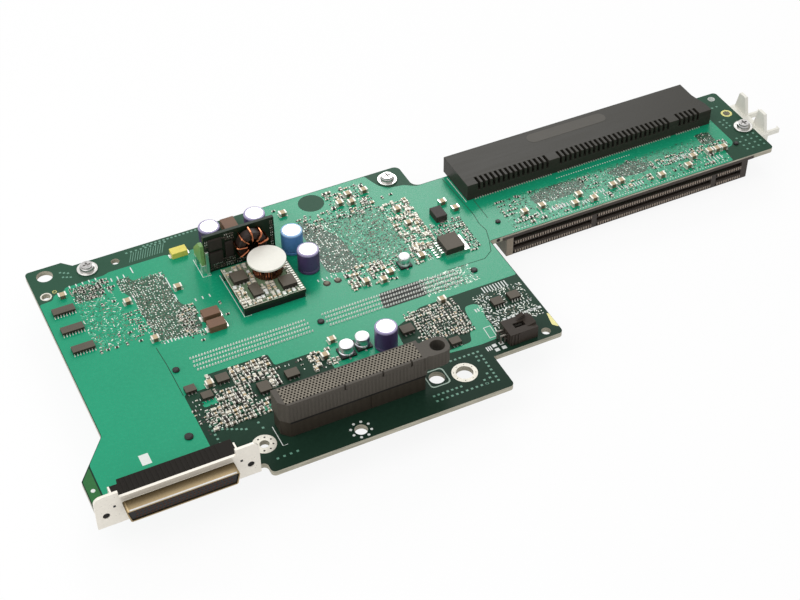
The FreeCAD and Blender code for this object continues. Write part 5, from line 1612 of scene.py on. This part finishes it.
def terminals():
    ends = Shape()

    def end_blocks(edge, side, y, forms):
        for reach, half, bottom, top in forms:
            ends.block(edge, edge + side * reach, y - half, y + half, bottom, top)

    for x, y in TANTALUMS:
        for side in SIDES:
            end_blocks(x + side * TANTALUM_HALF, side, y, TANTALUM_ENDS)
    low, high = span("yellow_tantalum")
    for edge, side in ((low.x, -1), (high.x, 1)):
        end_blocks(edge, side, (low.y + high.y) / 2, YELLOW_ENDS)
    for x, y, along_x, along_y in REGULATORS:
        front, back = y - along_y / 2 - LEG_OUT, y + along_y / 2 + TAB_OUT
        for k in (-1, 0, 1):
            ends.centred(x + k * along_x * LEG_SPREAD, front, *LEG, 0.0, FOOT_TOP)
        ends.centred(x, back, along_x * TAB_SHARE, TAB_DEPTH, 0.0, FOOT_TOP)
    reach, *cap, cap_top = CERAMIC_CAP
    for x, y in CERAMICS:
        for side in SIDES:
            ends.centred(x + side * reach, y, *cap, 0.0, cap_top)
    low, high = span("diode_block")
    x, half = (low.x + high.x) / 2, DIODE_FOOT_HALF
    for edge, side in ((low.y, -1), (high.y, 1)):
        ends.block(x - half, x + half, edge, edge + side * DIODE_FOOT_REACH, 0.0, FOOT_TOP)
    for x, y, r in SMALL_CANS:
        for side in SIDES:
            ends.centred(x, y + side * (r + SMALL_CAN_TAB_OUT), *SMALL_CAN_TAB, 0.0, SMALL_CAN_TAB_TOP)
    piece("terminals", ends, "tin")


def small_part_layers():
    for name, shape in LAYERS.items():
        piece("small_" + name, shape, LAYER_FINISH[name])


# Stage: pale floor, soft light, the camera of the photograph

FLOOR_SIZE = 8.0
FLOOR_WHITE = 0.9
SKY = 0.67
# Lamps, as (name, place, aim, size, power)
LAMPS = (
    ("key", (0.58, 1.19, 0.9), (0, 0, 0), 0.68, 6.5),
    ("fill", (-0.42, -0.02, 0.55), (-0.08, 0, 0), 0.6, 1.45),
)
SENSOR = 36.0
CAMERA_AT = (-0.24835, -0.46628, 0.4834)
CAMERA_ALONG = (0.3158, 0.6621, -0.6796)
CAMERA_ROLL = -0.6
CAMERA_LENS = 72.88


def floor_material():
    """Pale floor, close to white where it is seen straight or mirrored."""
    finish = Finish(Roughness=0.9, Specular_IOR_Level=0.0)
    tone = finish.ramp(finish.noise(3.0, 1.0), (0.2, (0.93, 0.93, 0.93, 1)), (0.8, (0.95, 0.95, 0.95, 1)))
    finish.supply(finish.shader, Base_Color=tone)
    rays = finish.node("LightPath").outputs
    seen = finish.math("MAXIMUM", rays["Is Camera Ray"], rays["Is Glossy Ray"])
    mix = finish.node("MixShader", Fac=finish.math("MULTIPLY", seen, FLOOR_WHITE))
    finish.feed(mix.inputs[1], finish.shader.outputs[0])
    finish.feed(mix.inputs[2], finish.node("Emission").outputs[0])
    finish.supply(finish.nodes["Material Output"], Surface=mix.outputs[0])
    return finish.material


def stage():
    half = FLOOR_SIZE / 2
    mesh = bpy.data.meshes.new("floor")
    mesh.from_pydata(lifted(rectangle(-half, half, -half, half), 0), [], [(0, 1, 2, 3)])
    mesh.materials.append(floor_material())
    floor = link("floor", mesh)


def sky():
    """Even white dome, dimmer as a light than as seen."""
    world = bpy.data.worlds.new("studio")
    bpy.context.scene.world = world
    world.use_nodes = True
    graph = Graph(world.node_tree)
    rays = graph.node("LightPath").outputs
    seen = 0.0
    for ray in ("Is Camera Ray", "Is Glossy Ray", "Is Transmission Ray"):
        seen = graph.math("MAXIMUM", rays[ray], seen)
    level = graph.node("MapRange", Value=seen, To_Min=SKY, To_Max=1.0)
    graph.supply(graph.nodes["Background"], Color=(1, 1, 1, 1), Strength=level.outputs["Result"])


def lamp(name, at, aim, size, power):
    data = bpy.data.lights.new(name, "AREA")
    data.shape = "DISK"
    data.size = size
    data.energy = power
    obj = link(name, data)
    obj.location = at
    obj.rotation_euler = (Vector(aim) - Vector(at)).to_track_quat("-Z", "Y").to_euler()


def camera():
    data = bpy.data.cameras.new("camera")
    data.lens = CAMERA_LENS
    data.sensor_width = SENSOR
    obj = link("camera", data)
    obj.location = CAMERA_AT
    turn = Vector(CAMERA_ALONG).to_track_quat("-Z", "Y")
    roll = Quaternion((0, 0, 1), math.radians(CAMERA_ROLL))
    obj.rotation_euler = (turn @ roll).to_euler()
    bpy.context.scene.camera = obj


for solid, dressing in NODE_FINISH.items():
    dress(solid, *dressing)
copper_pours()
footprints()
board_fields()
single_marks()
memory_pins()
rings_and_vias()
silk()
underside()
screws()
cans()
small_cans()
grid_connector()
grid_base()
slot_contacts("upper_single_contacts", UPPER_PLACES, "upper_slot_contacts")
slot_contacts("lower_single_contacts", LOWER_PLACES, "lower_slot_contacts")
upper_slot()
lower_slot()
module_parts()
module_bracket()
toroid()
coil()
header_details()
shell_connector()
outline_leads()
terminals()
small_part_layers()

stage()
sky()
for settings in LAMPS:
    lamp(*settings)
camera()
bpy.context.scene.view_settings.view_transform = "Standard"
